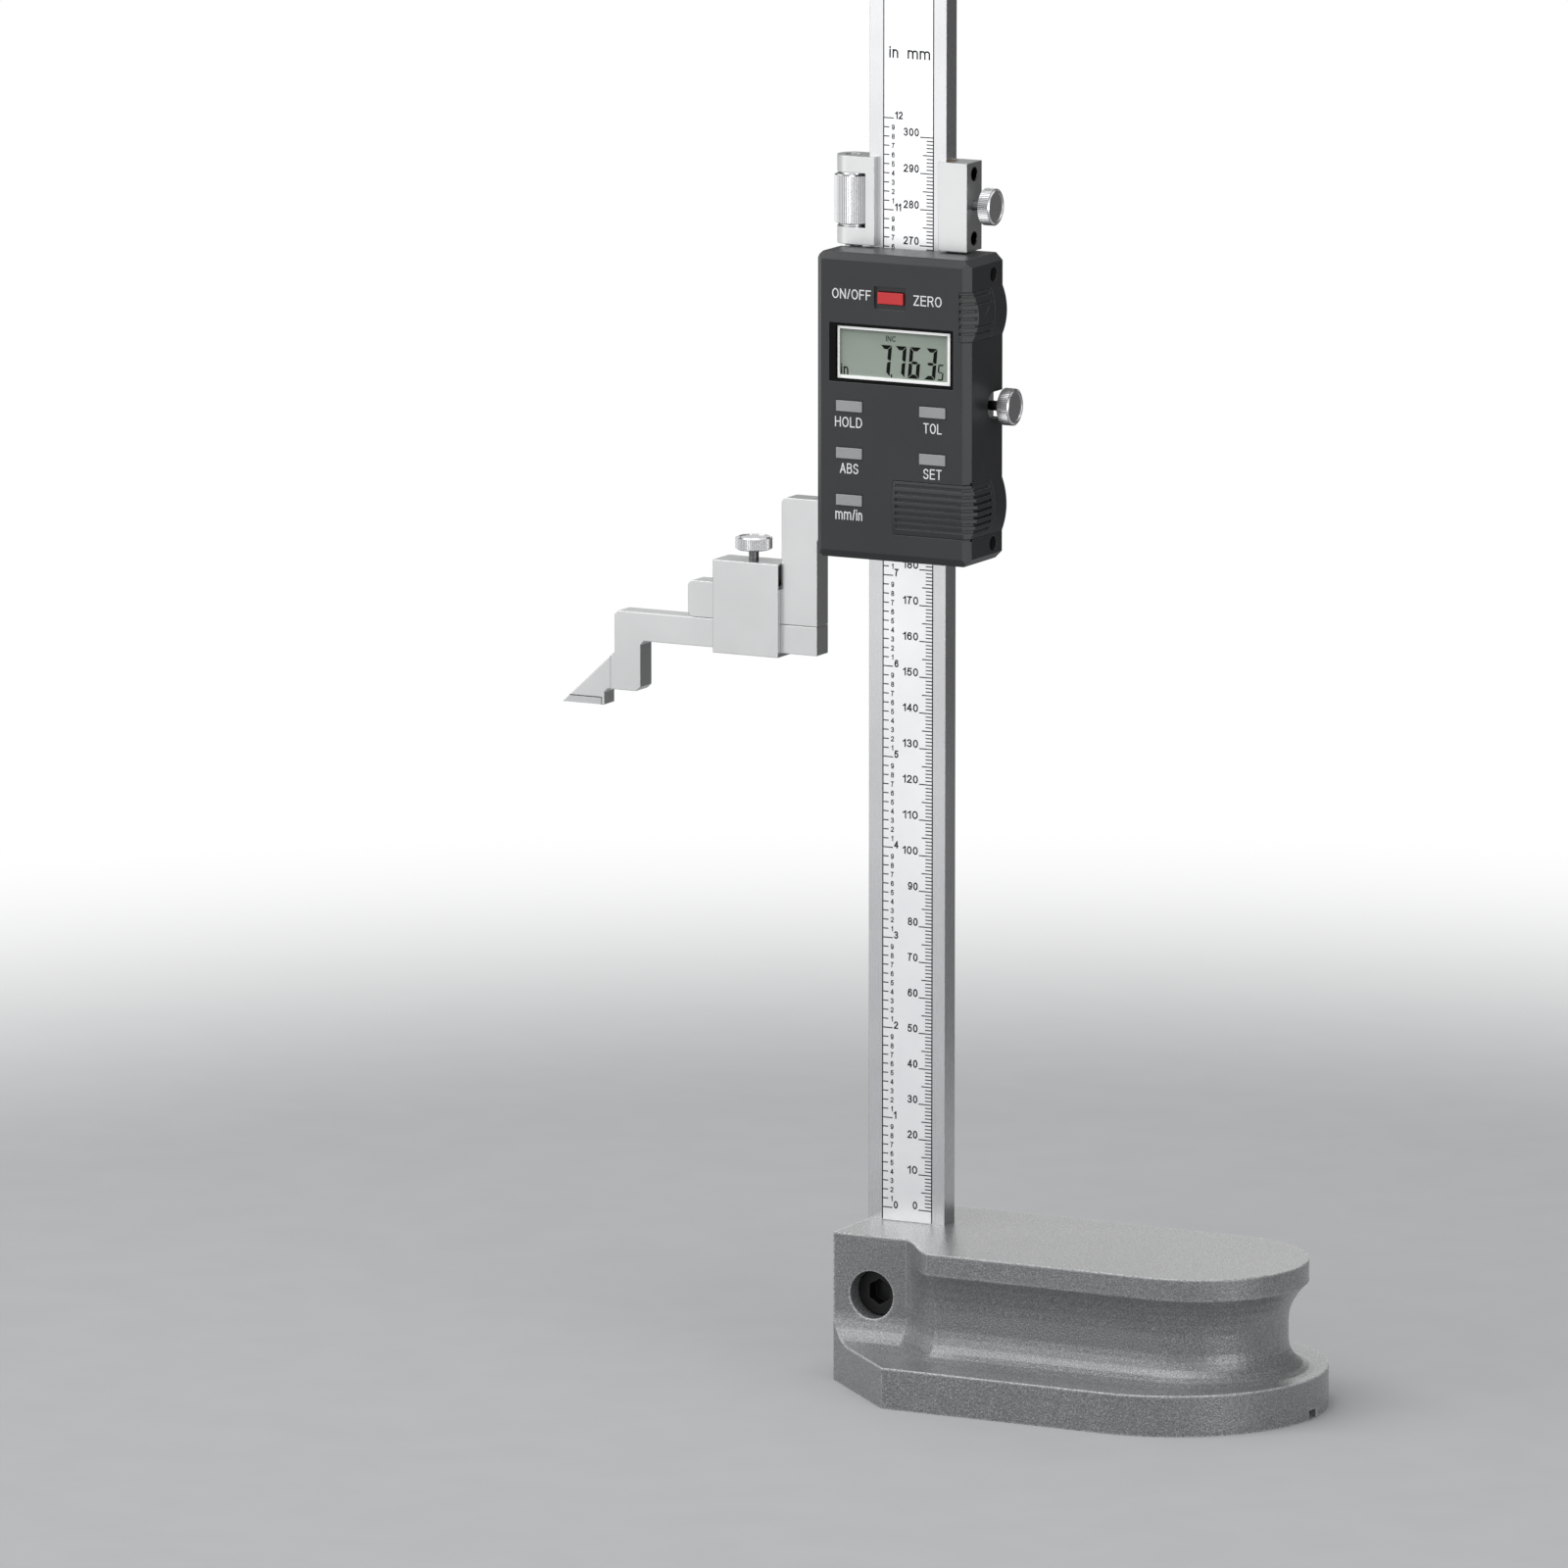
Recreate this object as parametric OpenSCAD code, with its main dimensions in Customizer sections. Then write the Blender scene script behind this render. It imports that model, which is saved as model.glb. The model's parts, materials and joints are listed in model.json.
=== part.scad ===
// Digital height gauge: a cast base, a graduated beam, and a sliding display unit whose jaw
// holds a carbide-tipped scriber. Origin at the base's underside below the beam's centre,
// +X towards the round end of the base, -Y towards the reader, +Z up.

/* [Beam] */
// Width of the beam
beam_w = 23.6; // [20:0.1:30]
// Thickness of the beam
beam_t = 6.2; // [5:0.1:8]
// Height of the beam's top end above the table
beam_top = 478; // [470:1:700]
// Width of the graduated strip
scale_w = 15.3; // [10:0.1:17]
// Thickness of the graduated strip
scale_t = 0.4; // [0.2:0.05:0.8]
// From the graduated strip's top end up to the beam's
scale_drop = 28; // [20:1:60]
// From the stop screws up to the beam's top end
stop_drop = 5; // [4:0.1:6]

/* [Base] */
// Height of the base
base_h = 41.8; // [38:0.1:46]
// Edge height of the bottom flange
flange_h = 11.4; // [8:0.1:13]
// Thickness of the top plate
top_plate_t = 6; // [4:0.1:8]
// Width across the bottom flange
base_w = 86.8; // [80:0.2:100]
// Width across the top plate
top_w = 61.6; // [56:0.2:66]
// Width of the boss round the beam
boss_w = 33; // [30:0.2:36]
// From the beam's centre line to the round end
base_reach = 127.6; // [110:0.2:160]
// How far the top plate stops short of the flange
top_setback = 4.8; // [3:0.1:10]
// How far the base's centre line lies in front of the beam's
base_shift = 7.7; // [6:0.1:9]
// How deep the waist is cut below the top plate
waist_inset = 5.5; // [3:0.1:7]
// Radius of the fillet from the waist into the flange
waist_fillet = 8; // [6:0.1:9]
// Width of the groove under the base
groove_w = 5; // [3:0.1:8]
// Depth of the groove under the base
groove_d = 2.6; // [1:0.1:4]
// Height of the beam's foot inside the base
socket_z = 6; // [4:0.1:10]
// Height of the clamping screw of the base
base_screw_z = 25.1; // [23:0.1:27]
// Thread of the clamping screw of the base
base_screw_d = 8; // [6:0.5:8]

/* [Slider] */
// Height of the measuring face of the scriber
reading_z = 179.2; // [179.2:0.1:200]
// Thickness of the steel in front of the beam
lip_t = 1.95; // [1.5:0.05:2.4]
// Thickness of the steel behind the beam
back_t = 3.65; // [3:0.05:4.5]
// Height of the slider's frame
frame_h = 81.5; // [80:0.1:82]
// Steel beside the beam on the scriber's side
frame_left_wall = 10.55; // [9.5:0.05:10.6]
// Steel beside the gib
frame_right_wall = 8.05; // [7.5:0.05:8.1]
// Thickness of the gib strips
gib_t = 1.55; // [1.2:0.05:1.6]

/* [Jaw and scriber] */
// Thickness of the jaw and the scriber
jaw_t = 6.7; // [6:0.05:7.2]
// Width of the jaw's upright
jaw_bar_w = 10.95; // [9:0.05:12]
// Height of the jaw's arm
arm_h = 10.2; // [8:0.05:11]
// Length of the jaw's arm past its upright
arm_len = 29.35; // [27:0.05:34]
// Height of the scriber's bar
scriber_h = 8; // [6:0.05:8.5]
// Width of the scriber's leg
leg_w = 8; // [6:0.05:9]
// From the scriber's bar top to its measuring face
scriber_drop = 27; // [24:0.05:30]
// Length of the scriber's bar
scriber_len = 63.45; // [61:0.05:70]
// How far the scriber's tip reaches past its leg
tip_reach = 16.65; // [14:0.05:20]
// Height of the carbide insert
insert_h = 2; // [1:0.05:3]
// Length of the clamp box along the arm
box_w = 20.3; // [18:0.05:22]
// Front wall of the clamp box
box_front_t = 1.8; // [1.4:0.05:2.4]
// Back wall of the clamp box
box_back_t = 1.1; // [0.8:0.05:2]
// Roof of the clamp box
box_roof_t = 5.1; // [4:0.05:7]

/* [Display unit] */
// Width of the display unit
unit_w = 47.5; // [47.3:0.1:48]
// Height of the display unit
unit_h = 84.8; // [84.6:0.1:86]
// From the beam's front face to the display's front face
unit_depth = 13.9; // [13.7:0.05:14.5]
// Wall of the plastic housing at the front
front_wall = 1.8; // [1.6:0.05:2]
// Corner chamfer of the housing
corner = 2.05; // [1.6:0.05:2.2]
// Width of a grey key
key_w = 7.9; // [7:0.1:8.4]
// Height of a grey key
key_h = 3; // [2.4:0.1:3.4]
// Travel of a key
key_travel = 0.5; // [0.3:0.05:0.55]
// Width of the display window
window_w = 38; // [37.6:0.1:38.4]
// Height of the display window
window_h = 16.1; // [15.7:0.1:16.5]
// Width of the battery cover's ribbed face
door_w = 21.2; // [20:0.1:22]
// Height of the battery cover
door_h = 14.8; // [14.4:0.1:15.2]
// Bulge of the grips on the housing's side
grip_bulge = 1.4; // [0.8:0.1:2]
// Diameter of the button cell
cell_d = 11.6; // [9.5:0.1:11.8]
// Thickness of the button cell
cell_t = 5.4; // [3:0.1:5.5]

/* [Fine adjustment] */
// Height of the fine adjustment carriage
carriage_h = 24.5; // [24:0.1:26]
// Depth of the carriage from front to back
carriage_d = 9.1; // [8.9:0.05:9.6]
// Diameter of the knurled nut
nut_d = 10.8; // [9.8:0.1:10.9]
// Height of the window that traps the nut
nut_window = 15.1; // [13:0.1:15.6]
// Diameter of the fine feed screw
feed_d = 4; // [3:0.1:4.2]
// Diameter of a thumb screw's knob
knob_d = 10.3; // [9:0.1:10.6]
// Thickness of a thumb screw's knob
knob_t = 3.7; // [3:0.1:4]
// Diameter of a thumb screw's thread
thumb_d = 2.75; // [2.4:0.05:3]

/* [Hidden] */
$fn = 48;
eps = 0.01;
run_gap = 0.05;
seat_gap = 0.05;
part_gap = 0.15;
free_gap = 0.3;

beam_x = beam_w / 2;
beam_y = beam_t / 2;
scale_x = 0.2;
scale_top = beam_top - scale_drop;
stop_z = beam_top - stop_drop;
stop_x = beam_x - 2.1;
stop_r = 1.2;

base_y = -base_shift;
plate_z = base_h - top_plate_t;
waist_z = 25;
boss_front = base_y - boss_w / 2;
boss_back = base_y + boss_w / 2;
front_step = [10.8, 24.3];
back_step = [-beam_x + 0.6, 3];
step_turns = 6;
flange_corner = 16.9;
screw_head_d = 1.6 * base_screw_d;
screw_head_h = base_screw_d;
head_sink = 5;
screw_seat = boss_front + head_sink + screw_head_h;
hex_across = 0.8 * base_screw_d;

frame_rise = 52.1;
frame_z = reading_z + frame_rise;
frame_top = frame_z + frame_h;
slot_left = -beam_x - run_gap;
slot_right = beam_x + run_gap + gib_t + run_gap;
frame_left = slot_left - frame_left_wall;
frame_right = slot_right + frame_right_wall;
frame_front = -beam_y - run_gap - lip_t;
frame_back = beam_y + run_gap + back_t;
clamp_y = -1.8;
clamp_rise = 41.3;
clamp_z = frame_z + clamp_rise;
clamp_notch = 3.8;
gib_screw_y = -2.1;
gib_screw_r = 1.7;
gib_screw_z = [frame_z + 3, frame_top - 3.9];
window_half = 9.2;
window_margin = 6.7;
feed_depth = 12.8;

jaw_back = frame_back;
jaw_front = jaw_back - jaw_t;
scriber_top = reading_z + scriber_drop;
arm_z = scriber_top + part_gap;
arm_top = arm_z + arm_h;
jaw_gap = 7.35;
jaw_rise = 10.6;
jaw_right = frame_left - jaw_gap;
jaw_left = jaw_right - jaw_bar_w;
arm_end = jaw_left - arm_len;
jaw_top = frame_z + jaw_rise;
jaw_round = 1.5;
jaw_fillet = 1.4;

scriber_end = jaw_right;
leg_left = scriber_end - scriber_len;
leg_right = leg_left + leg_w;
scriber_z = scriber_top - scriber_h;
tip_x = leg_left - tip_reach;
foot_rise = 4.7;
blade_rise = 15.4;
foot_z = reading_z + foot_rise;
blade_x = leg_left - 1.4;
foot_right = leg_left - 3.6;
insert_back = foot_right - 0.8;

box_right = jaw_left - free_gap;
box_left = box_right - box_w;
box_window_front = jaw_front - run_gap;
box_window_back = jaw_back + run_gap;
box_front = box_window_front - box_front_t;
box_back = box_window_back + box_back_t;
box_floor = scriber_z - run_gap;
box_z = box_floor - 1.05;
pad_t = 1.2;
pad_z = arm_top + 0.1;
box_ceiling = pad_z + pad_t + 0.3;
box_top = box_ceiling + box_roof_t;
box_screw_x = (box_left + box_right) / 2;
box_screw_y = (jaw_front + jaw_back) / 2;
box_knob_gap = 2.9;

unit_x = 2.15;
unit_left = unit_x - unit_w / 2;
unit_right = unit_x + unit_w / 2;
unit_z = frame_z - 1.8;
unit_top = unit_z + unit_h;
unit_front = -beam_y - unit_depth;
unit_back = frame_front - 0.05;
flange_back = 3.4;
wall_inside = unit_front + front_wall;
side_wall = 2;
cavity_left = unit_left + side_wall;
cavity_right = unit_right - side_wall;
cavity_z = unit_z + 1.9;
cavity_top = unit_top - 1.9;
bevel = 1.3;
chassis_back = unit_back;
chassis_front = chassis_back - 1.8;
ledge_left = cavity_left + 4.2;
ledge_right = cavity_right - 0.8;
ledge_front = unit_front + bevel + 0.2;
ledge_t = 2.95;
board_back = chassis_front - seat_gap;
board_front = board_back - 1.6;
boss_r = 2.2;
cover_screw_r = 1;
cover_screws = [[slot_left - 2.35, frame_z + 3.7],
                [slot_left - 2.35, frame_top - 4.4],
                [slot_right + 2.75, frame_top - 8]];

lcd_x = 2;
lcd_rise = 55.35;
lcd_z = frame_z + lcd_rise;
lcd_w = 33.3;
lcd_h = 12.8;
lcd_rim = 0.9;
window_front = unit_front + 0.2;
window_back = window_front + 1;

door_rise = 13.45;
door_z = frame_z + door_rise;
door_left = cavity_right - door_w;
door_crown = 0.5;
port_rise = 67.3;
port_z = frame_z + port_rise;
port_h = 13.6;
grip_y = -3.8;
door_ribs = [7, 1.92, 0.35];
port_ribs = [6, 2.08, 0.6];
groove_half = 0.45;
cell_x = door_left + 8.3;

left_keys_x = unit_x - 13;
right_keys_x = unit_x + 12.65;
key_rise = 14.45;
key_pitch = 13.05;
key_rows = [for (i = [2 : -1 : 0]) frame_z + key_rise + i * key_pitch];
key_front = unit_front - 0.3;
key_flange = wall_inside + 0.1;
key_flange_t = 0.6;
stem_end = board_front - 2.05;
dome_top = stem_end + key_travel + 0.1;
red_x = unit_x - 0.5;
red_rise = 71.15;
red_z = frame_z + red_rise;
red_w = 7.8;
red_h = 3.2;
red_pocket = [9.9, 6.2, 0.8];
key_gap = 0.2;
mat_half = 4.7;
mat_margin = 4.2;
dome_r = 2;

carriage_z = frame_top + 2;
carriage_top = carriage_z + carriage_h;
carriage_front = frame_front;
carriage_back = carriage_front + carriage_d;
carriage_r = carriage_d / 2;
feed_x = slot_left - 6.1;
feed_y = carriage_front + carriage_r;
carriage_right = slot_right + 5.65;
lip_left = -9.4;
lip_right = 10.4;
nut_z = carriage_z + 4.75;
nut_top = nut_z + nut_window;
nut_hub = 0.55;
nut_window_right = feed_x + nut_d / 2 + 0.45;
nut_clear = feed_x + sqrt(max(0, pow(nut_d / 2, 2) - pow(carriage_r, 2))) + 0.6;
feed_hole_r = feed_d / 2 + free_gap;
carriage_clamp_rise = 12.5;
carriage_clamp_z = carriage_z + carriage_clamp_rise;
carriage_gib_z = [carriage_z + 3.4, carriage_top - 3.3];
plate_t = 1.2;
plate_screw_x = [slot_left - 1.95, slot_right + 2.75];
plate_screw_z = [carriage_z + 2.4, carriage_top - 2.4];
knurl_count = 56;
knurl_depth = 0.2;

// Block between two corners
module block(low, high) translate(low) cube(high - low);

// Flat outline drawn in X and Z, given its thickness from y0 back to y1
module slab(y0, y1) translate([0, y1, 0]) rotate([90, 0, 0]) linear_extrude(y1 - y0) children();

// Flat outline drawn in X and Y, given its height from z0 to z1
module prism(z0, z1) translate([0, 0, z0]) linear_extrude(z1 - z0) children();

// Outline drawn in Y and Z, run from x0 to x1
module run_x(x0, x1) translate([x0, 0, 0]) rotate([90, 0, 90]) linear_extrude(x1 - x0) children();

module rod_x(x0, x1, y, z, r) translate([x0, y, z]) rotate([0, 90, 0]) cylinder(h = x1 - x0, r = r);
module rod_y(x, y0, y1, z, r) translate([x, y0, z]) rotate([-90, 0, 0]) cylinder(h = y1 - y0, r = r);
module rod_z(x, y, z0, z1, r) translate([x, y, z0]) cylinder(h = z1 - z0, r = r);

// Rectangle with round corners
module round_rect(low, high, r) {
    translate([low[0] + r, low[1]]) square([high[0] - low[0] - 2 * r, high[1] - low[1]]);
    translate([low[0], low[1] + r]) square([high[0] - low[0], high[1] - low[1] - 2 * r]);
    for (x = [low[0] + r, high[0] - r], y = [low[1] + r, high[1] - r])
        translate([x, y]) circle(r = r);
}

// A slope from 0 to 1 with soft ends
function slope(t) = (t + t * t * (3 - 2 * t)) / 2;

// Outline of a straight-knurled rim
module knurl(d, count, depth) {
    step = 180 / count;
    polygon([for (i = [0 : 2 * count - 1])
        (d / 2 - (i % 2) * depth) * [cos(i * step), sin(i * step)]]);
}

// Knob with a knurled rim, chamfered edges and a dished face, rising from z = 0
module knob(d, t) {
    edge = 0.35;
    difference() {
        union() {
            translate([0, 0, edge]) linear_extrude(t - 2 * edge) knurl(d, knurl_count, knurl_depth);
            cylinder(h = edge + eps, r1 = d / 2 - 2 * edge, r2 = d / 2 - 0.3);
            translate([0, 0, t - edge - eps]) cylinder(h = edge + eps, r1 = d / 2 - 0.3, r2 = d / 2 - 2 * edge);
        }
        translate([0, 0, t - 0.2]) cylinder(h = 1, r = d / 2 - 1.1);
    }
}

// Thumb screw whose shaft rises from z = 0 and carries the knob at its end
module thumb_screw(shaft) {
    cylinder(h = shaft + 0.3, r = thumb_d / 2);
    translate([0, 0, shaft]) knob(knob_d, knob_t);
}

// Base

// Distance that the wall stands out at height z, above the flange
function flare(z) =
    let (rise = flange_h + waist_fillet - z)
    rise <= 0 ? 0 : waist_fillet - sqrt(max(0, pow(waist_fillet, 2) - pow(rise, 2)));

// Distance that the wall is drawn in at height z, below the top plate
function drawn_in(z) =
    z < waist_z ? waist_inset : waist_inset * (1 - pow((z - waist_z) / (plate_z - waist_z), 2));

// The widening from the boss to the body, between the two ends of a step
function step_curve(step, boss, body) = concat([[-beam_x, -boss]],
    [for (i = [0 : step_turns]) [step[0] + (step[1] - step[0]) * i / step_turns,
        -boss - (body - boss) * slope(i / step_turns)]]);

// Half of the wall's outline: the boss, the step and the round end
function half_wall(step, boss, body, reach, turns) = concat(step_curve(step, boss, body),
    [for (i = [0 : turns]) let (a = -90 + 90 * i / turns) [reach - body + body * cos(a), body * sin(a)]]);

function mirrored(points, skip = 0) = [for (i = [len(points) - 1 - skip : -1 : 0]) [points[i][0], -points[i][1]]];

function wall_outline(boss, body, reach) = concat(half_wall(front_step, boss, body, reach, 14),
    mirrored(half_wall(back_step, boss, body, reach, 14), 1));

function wall_ring(z) = [for (p = wall_outline(boss_w / 2 + flare(z),
    top_w / 2 - drawn_in(z) + flare(z),
    base_reach - top_setback - drawn_in(z) + flare(z))) [p[0], p[1] + base_y, z]];

module flange_outline() {
    half = base_w / 2;
    translate([0, base_y]) {
        polygon([[-beam_x, -boss_w / 2], [flange_corner, -half], [base_reach - half, -half],
                 [base_reach - half, half], [flange_corner, half], [-beam_x, boss_w / 2]]);
        translate([base_reach - half, 0]) circle(r = half, $fn = 96);
    }
}

module top_outline() {
    half = top_w / 2;
    reach = base_reach - top_setback;
    translate([0, base_y]) {
        polygon(concat(step_curve(front_step, boss_w / 2, half), [[reach - half, -half], [reach - half, half]],
            mirrored(step_curve(back_step, boss_w / 2, half))));
        translate([reach - half, 0]) circle(r = half, $fn = 96);
    }
}

// The waisted wall between the flange and the top plate
module waist() {
    levels = concat([flange_h - 0.1],
        [for (a = [15 : 15 : 90]) flange_h + waist_fillet * (1 - cos(a))],
        [waist_z],
        [for (i = [1 : 4]) waist_z + (plate_z + 0.1 - waist_z) * i / 4]);
    rings = [for (z = levels) wall_ring(z)];
    n = len(rings[0]);
    tip = (n - 1) / 2;
    last = len(rings) - 1;
    polyhedron(
        points = [for (ring = rings, p = ring) p],
        faces = concat(
            [for (i = [0 : tip - 1]) [i, i + 1, n - 1 - i]],
            [for (i = [0 : tip - 2]) [i + 1, n - 2 - i, n - 1 - i]],
            [for (k = [0 : last - 1], i = [0 : n - 1])
                [k * n + i, (k + 1) * n + i, (k + 1) * n + (i + 1) % n]],
            [for (k = [0 : last - 1], i = [0 : n - 1])
                [k * n + i, (k + 1) * n + (i + 1) % n, k * n + (i + 1) % n]],
            [for (i = [0 : tip - 1]) last * n * [1, 1, 1] + [n - 1 - i, i + 1, i]],
            [for (i = [0 : tip - 2]) last * n * [1, 1, 1] + [n - 1 - i, n - 2 - i, i + 1]]),
        convexity = 4);
}

module base() {
    color("dimgray") difference() {
        union() {
            prism(0, flange_h) flange_outline();
            intersection() {
                waist();
                prism(flange_h - 1, base_h) flange_outline();
            }
            prism(plate_z, base_h) top_outline();
        }
        block([-beam_x - 1, -beam_y - run_gap, socket_z], [beam_x + run_gap, beam_y + run_gap, base_h + 1]);
        rod_y(0, boss_front - 1, screw_seat, base_screw_z, screw_head_d / 2 + 0.35);
        rod_y(0, boss_front - 1, 0, base_screw_z, base_screw_d / 2 + 0.2);
        rod_y(0, 0, boss_back + 1, base_screw_z, base_screw_d / 2 + 0.02);
        block([-beam_x - 1, base_y - groove_w / 2, -1], [base_reach + 1, base_y + groove_w / 2, groove_d]);
    }
}

module base_clamp_screw() {
    color("black") difference() {
        union() {
            rod_y(0, screw_seat - screw_head_h, screw_seat, base_screw_z, screw_head_d / 2);
            rod_y(0, screw_seat - 1, boss_back - 0.5, base_screw_z, base_screw_d / 2);
        }
        translate([0, screw_seat - screw_head_h / 2, base_screw_z]) rotate([90, 0, 0])
            rotate([0, 0, 30]) cylinder(h = screw_head_h, r = hex_across / sqrt(3), $fn = 6);
    }
}

// Beam

module beam() {
    color("silver") difference() {
        block([-beam_x, -beam_y, socket_z], [beam_x, beam_y, beam_top]);
        block([scale_x - scale_w / 2 - 0.1, -beam_y - 1, base_h],
              [scale_x + scale_w / 2 + 0.1, -beam_y + scale_t, scale_top + 0.1]);
        rod_y(0, -beam_y - 1, beam_y + 1, base_screw_z, base_screw_d / 2 + 0.2);
        for (side = [-1, 1])
            rod_y(side * stop_x, -beam_y - 1, 1.1, stop_z, stop_r + 0.02);
    }
}

module scale_strip() {
    color("whitesmoke") block([scale_x - scale_w / 2, -beam_y, base_h + 0.2],
        [scale_x + scale_w / 2, -beam_y + scale_t, scale_top]);
}

module beam_stop_screws() {
    color("gray") for (side = [-1, 1])
        difference() {
            union() {
                rod_y(side * stop_x, -beam_y - 1.8, -beam_y, stop_z, stop_r + 0.7);
                rod_y(side * stop_x, -beam_y - 0.5, 1, stop_z, stop_r);
            }
            block([side * stop_x - 0.25, -beam_y - 3, stop_z - 3],
                  [side * stop_x + 0.25, -beam_y - 1.2, stop_z + 3]);
        }
}

// Slider

// Outline of the jaw: upright, arm and the web that joins them to the frame
module jaw_outline() {
    difference() {
        union() {
            round_rect([jaw_left, arm_z], [jaw_right, jaw_top], jaw_round);
            round_rect([arm_end, arm_z], [jaw_right, arm_top], jaw_round);
            translate([jaw_right - 4, arm_z]) square([4, 6]);
            translate([jaw_right - 4, frame_z]) square([frame_left - jaw_right + 6, jaw_top - frame_z]);
            translate([jaw_left - jaw_fillet, arm_top - eps]) square(jaw_fillet + eps);
            translate([jaw_right - eps, frame_z - jaw_fillet]) square(jaw_fillet + eps);
        }
        translate([jaw_left - jaw_fillet, arm_top + jaw_fillet]) circle(r = jaw_fillet);
        translate([jaw_right + jaw_fillet, frame_z - jaw_fillet]) circle(r = jaw_fillet);
    }
}

module slider_frame() {
    color("lightgray") difference() {
        union() {
            block([frame_left, frame_front, frame_z], [frame_right, frame_back, frame_top]);
            slab(jaw_front, jaw_back) jaw_outline();
        }
        block([slot_left, -beam_y - run_gap, frame_z - 1], [slot_right, beam_y + run_gap, frame_top + 1]);
        block([-window_half, frame_front - 1, frame_z + window_margin],
              [window_half, 0, frame_top - window_margin]);
        rod_z(feed_x, feed_y, frame_top - feed_depth, frame_top + 1, feed_d / 2 + 0.02);
        rod_x(0, frame_right + 1, clamp_y, clamp_z, thumb_d / 2 + run_gap);
        for (z = gib_screw_z) rod_x(slot_right - 1, frame_right + 1, gib_screw_y, z, gib_screw_r + run_gap);
        for (p = cover_screws) {
            rod_y(p[0], frame_front - 1, frame_back + 1, p[1], cover_screw_r + 0.1);
            rod_y(p[0], frame_back - 2, frame_back + 1, p[1], cover_screw_r + 1.1);
        }
    }
}

module gib(z0, z1) {
    color("goldenrod") block([beam_x + run_gap, -beam_y + 0.4, z0], [slot_right - run_gap, beam_y - 0.4, z1]);
}

// Headless screw with a hex socket, from the gib outwards
module gib_screw(y, z) {
    difference() {
        rod_x(slot_right, slot_right + 3.6, y, z, gib_screw_r);
        translate([slot_right + 2, y, z]) rotate([0, 90, 0]) cylinder(h = 3, r = 0.9, $fn = 6);
    }
}

module slider_gib() gib(frame_z + 1.5, frame_top - 1.5);
module slider_gib_screws() color("dimgray") for (z = gib_screw_z) gib_screw(gib_screw_y, z);

module slider_clamp_screw() {
    color("silver") translate([slot_right + run_gap, clamp_y, clamp_z]) rotate([0, 90, 0])
        thumb_screw(unit_right + 3 - slot_right);
}

// Display unit

// Outline of the housing seen from the front, with its corners cut
module unit_outline() {
    c = corner;
    polygon([[unit_left + c, unit_z], [unit_right - c, unit_z], [unit_right, unit_z + c],
             [unit_right, unit_top - c], [unit_right - c, unit_top], [unit_left + c, unit_top],
             [unit_left, unit_top - c], [unit_left, unit_z + c]]);
}

// Outline of the housing seen from above, reaching out by more on the right
module unit_plan(more) {
    c = corner;
    polygon([[unit_left + c, unit_front], [unit_right - c, unit_front],
             [unit_right + more, unit_front + c + more], [unit_right + more, flange_back],
             [unit_left, flange_back], [unit_left, unit_front + c]]);
}

// Outline of the housing seen from the side, with its front edges bevelled
module unit_side() {
    polygon([[unit_front, unit_z + corner], [unit_front + bevel, unit_z], [flange_back, unit_z],
             [flange_back, unit_top], [unit_front + bevel, unit_top], [unit_front, unit_top - corner]]);
}

// Round bulge over a grip on the right side, as a shape to cut against
module bulge(z, chord, height) {
    r = (chord * chord / 4 + height * height) / (2 * height);
    rod_y(unit_right + height - r, unit_front - 1, flange_back, z, r);
}

// What the thumb grips of both covers leave standing on the housing itself
module grip_root(z, chord) {
    intersection() {
        bulge(z, chord, grip_bulge);
        block([cavity_right, grip_y, z - chord / 2 - 1], [unit_right + grip_bulge + 1, flange_back, z + chord / 2 + 1]);
    }
}

module key_hole(x, z, w, h) {
    block([x - w / 2 - key_gap, unit_front - 1, z - h / 2 - key_gap],
          [x + w / 2 + key_gap, wall_inside + 1, z + h / 2 + key_gap]);
}

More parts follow.
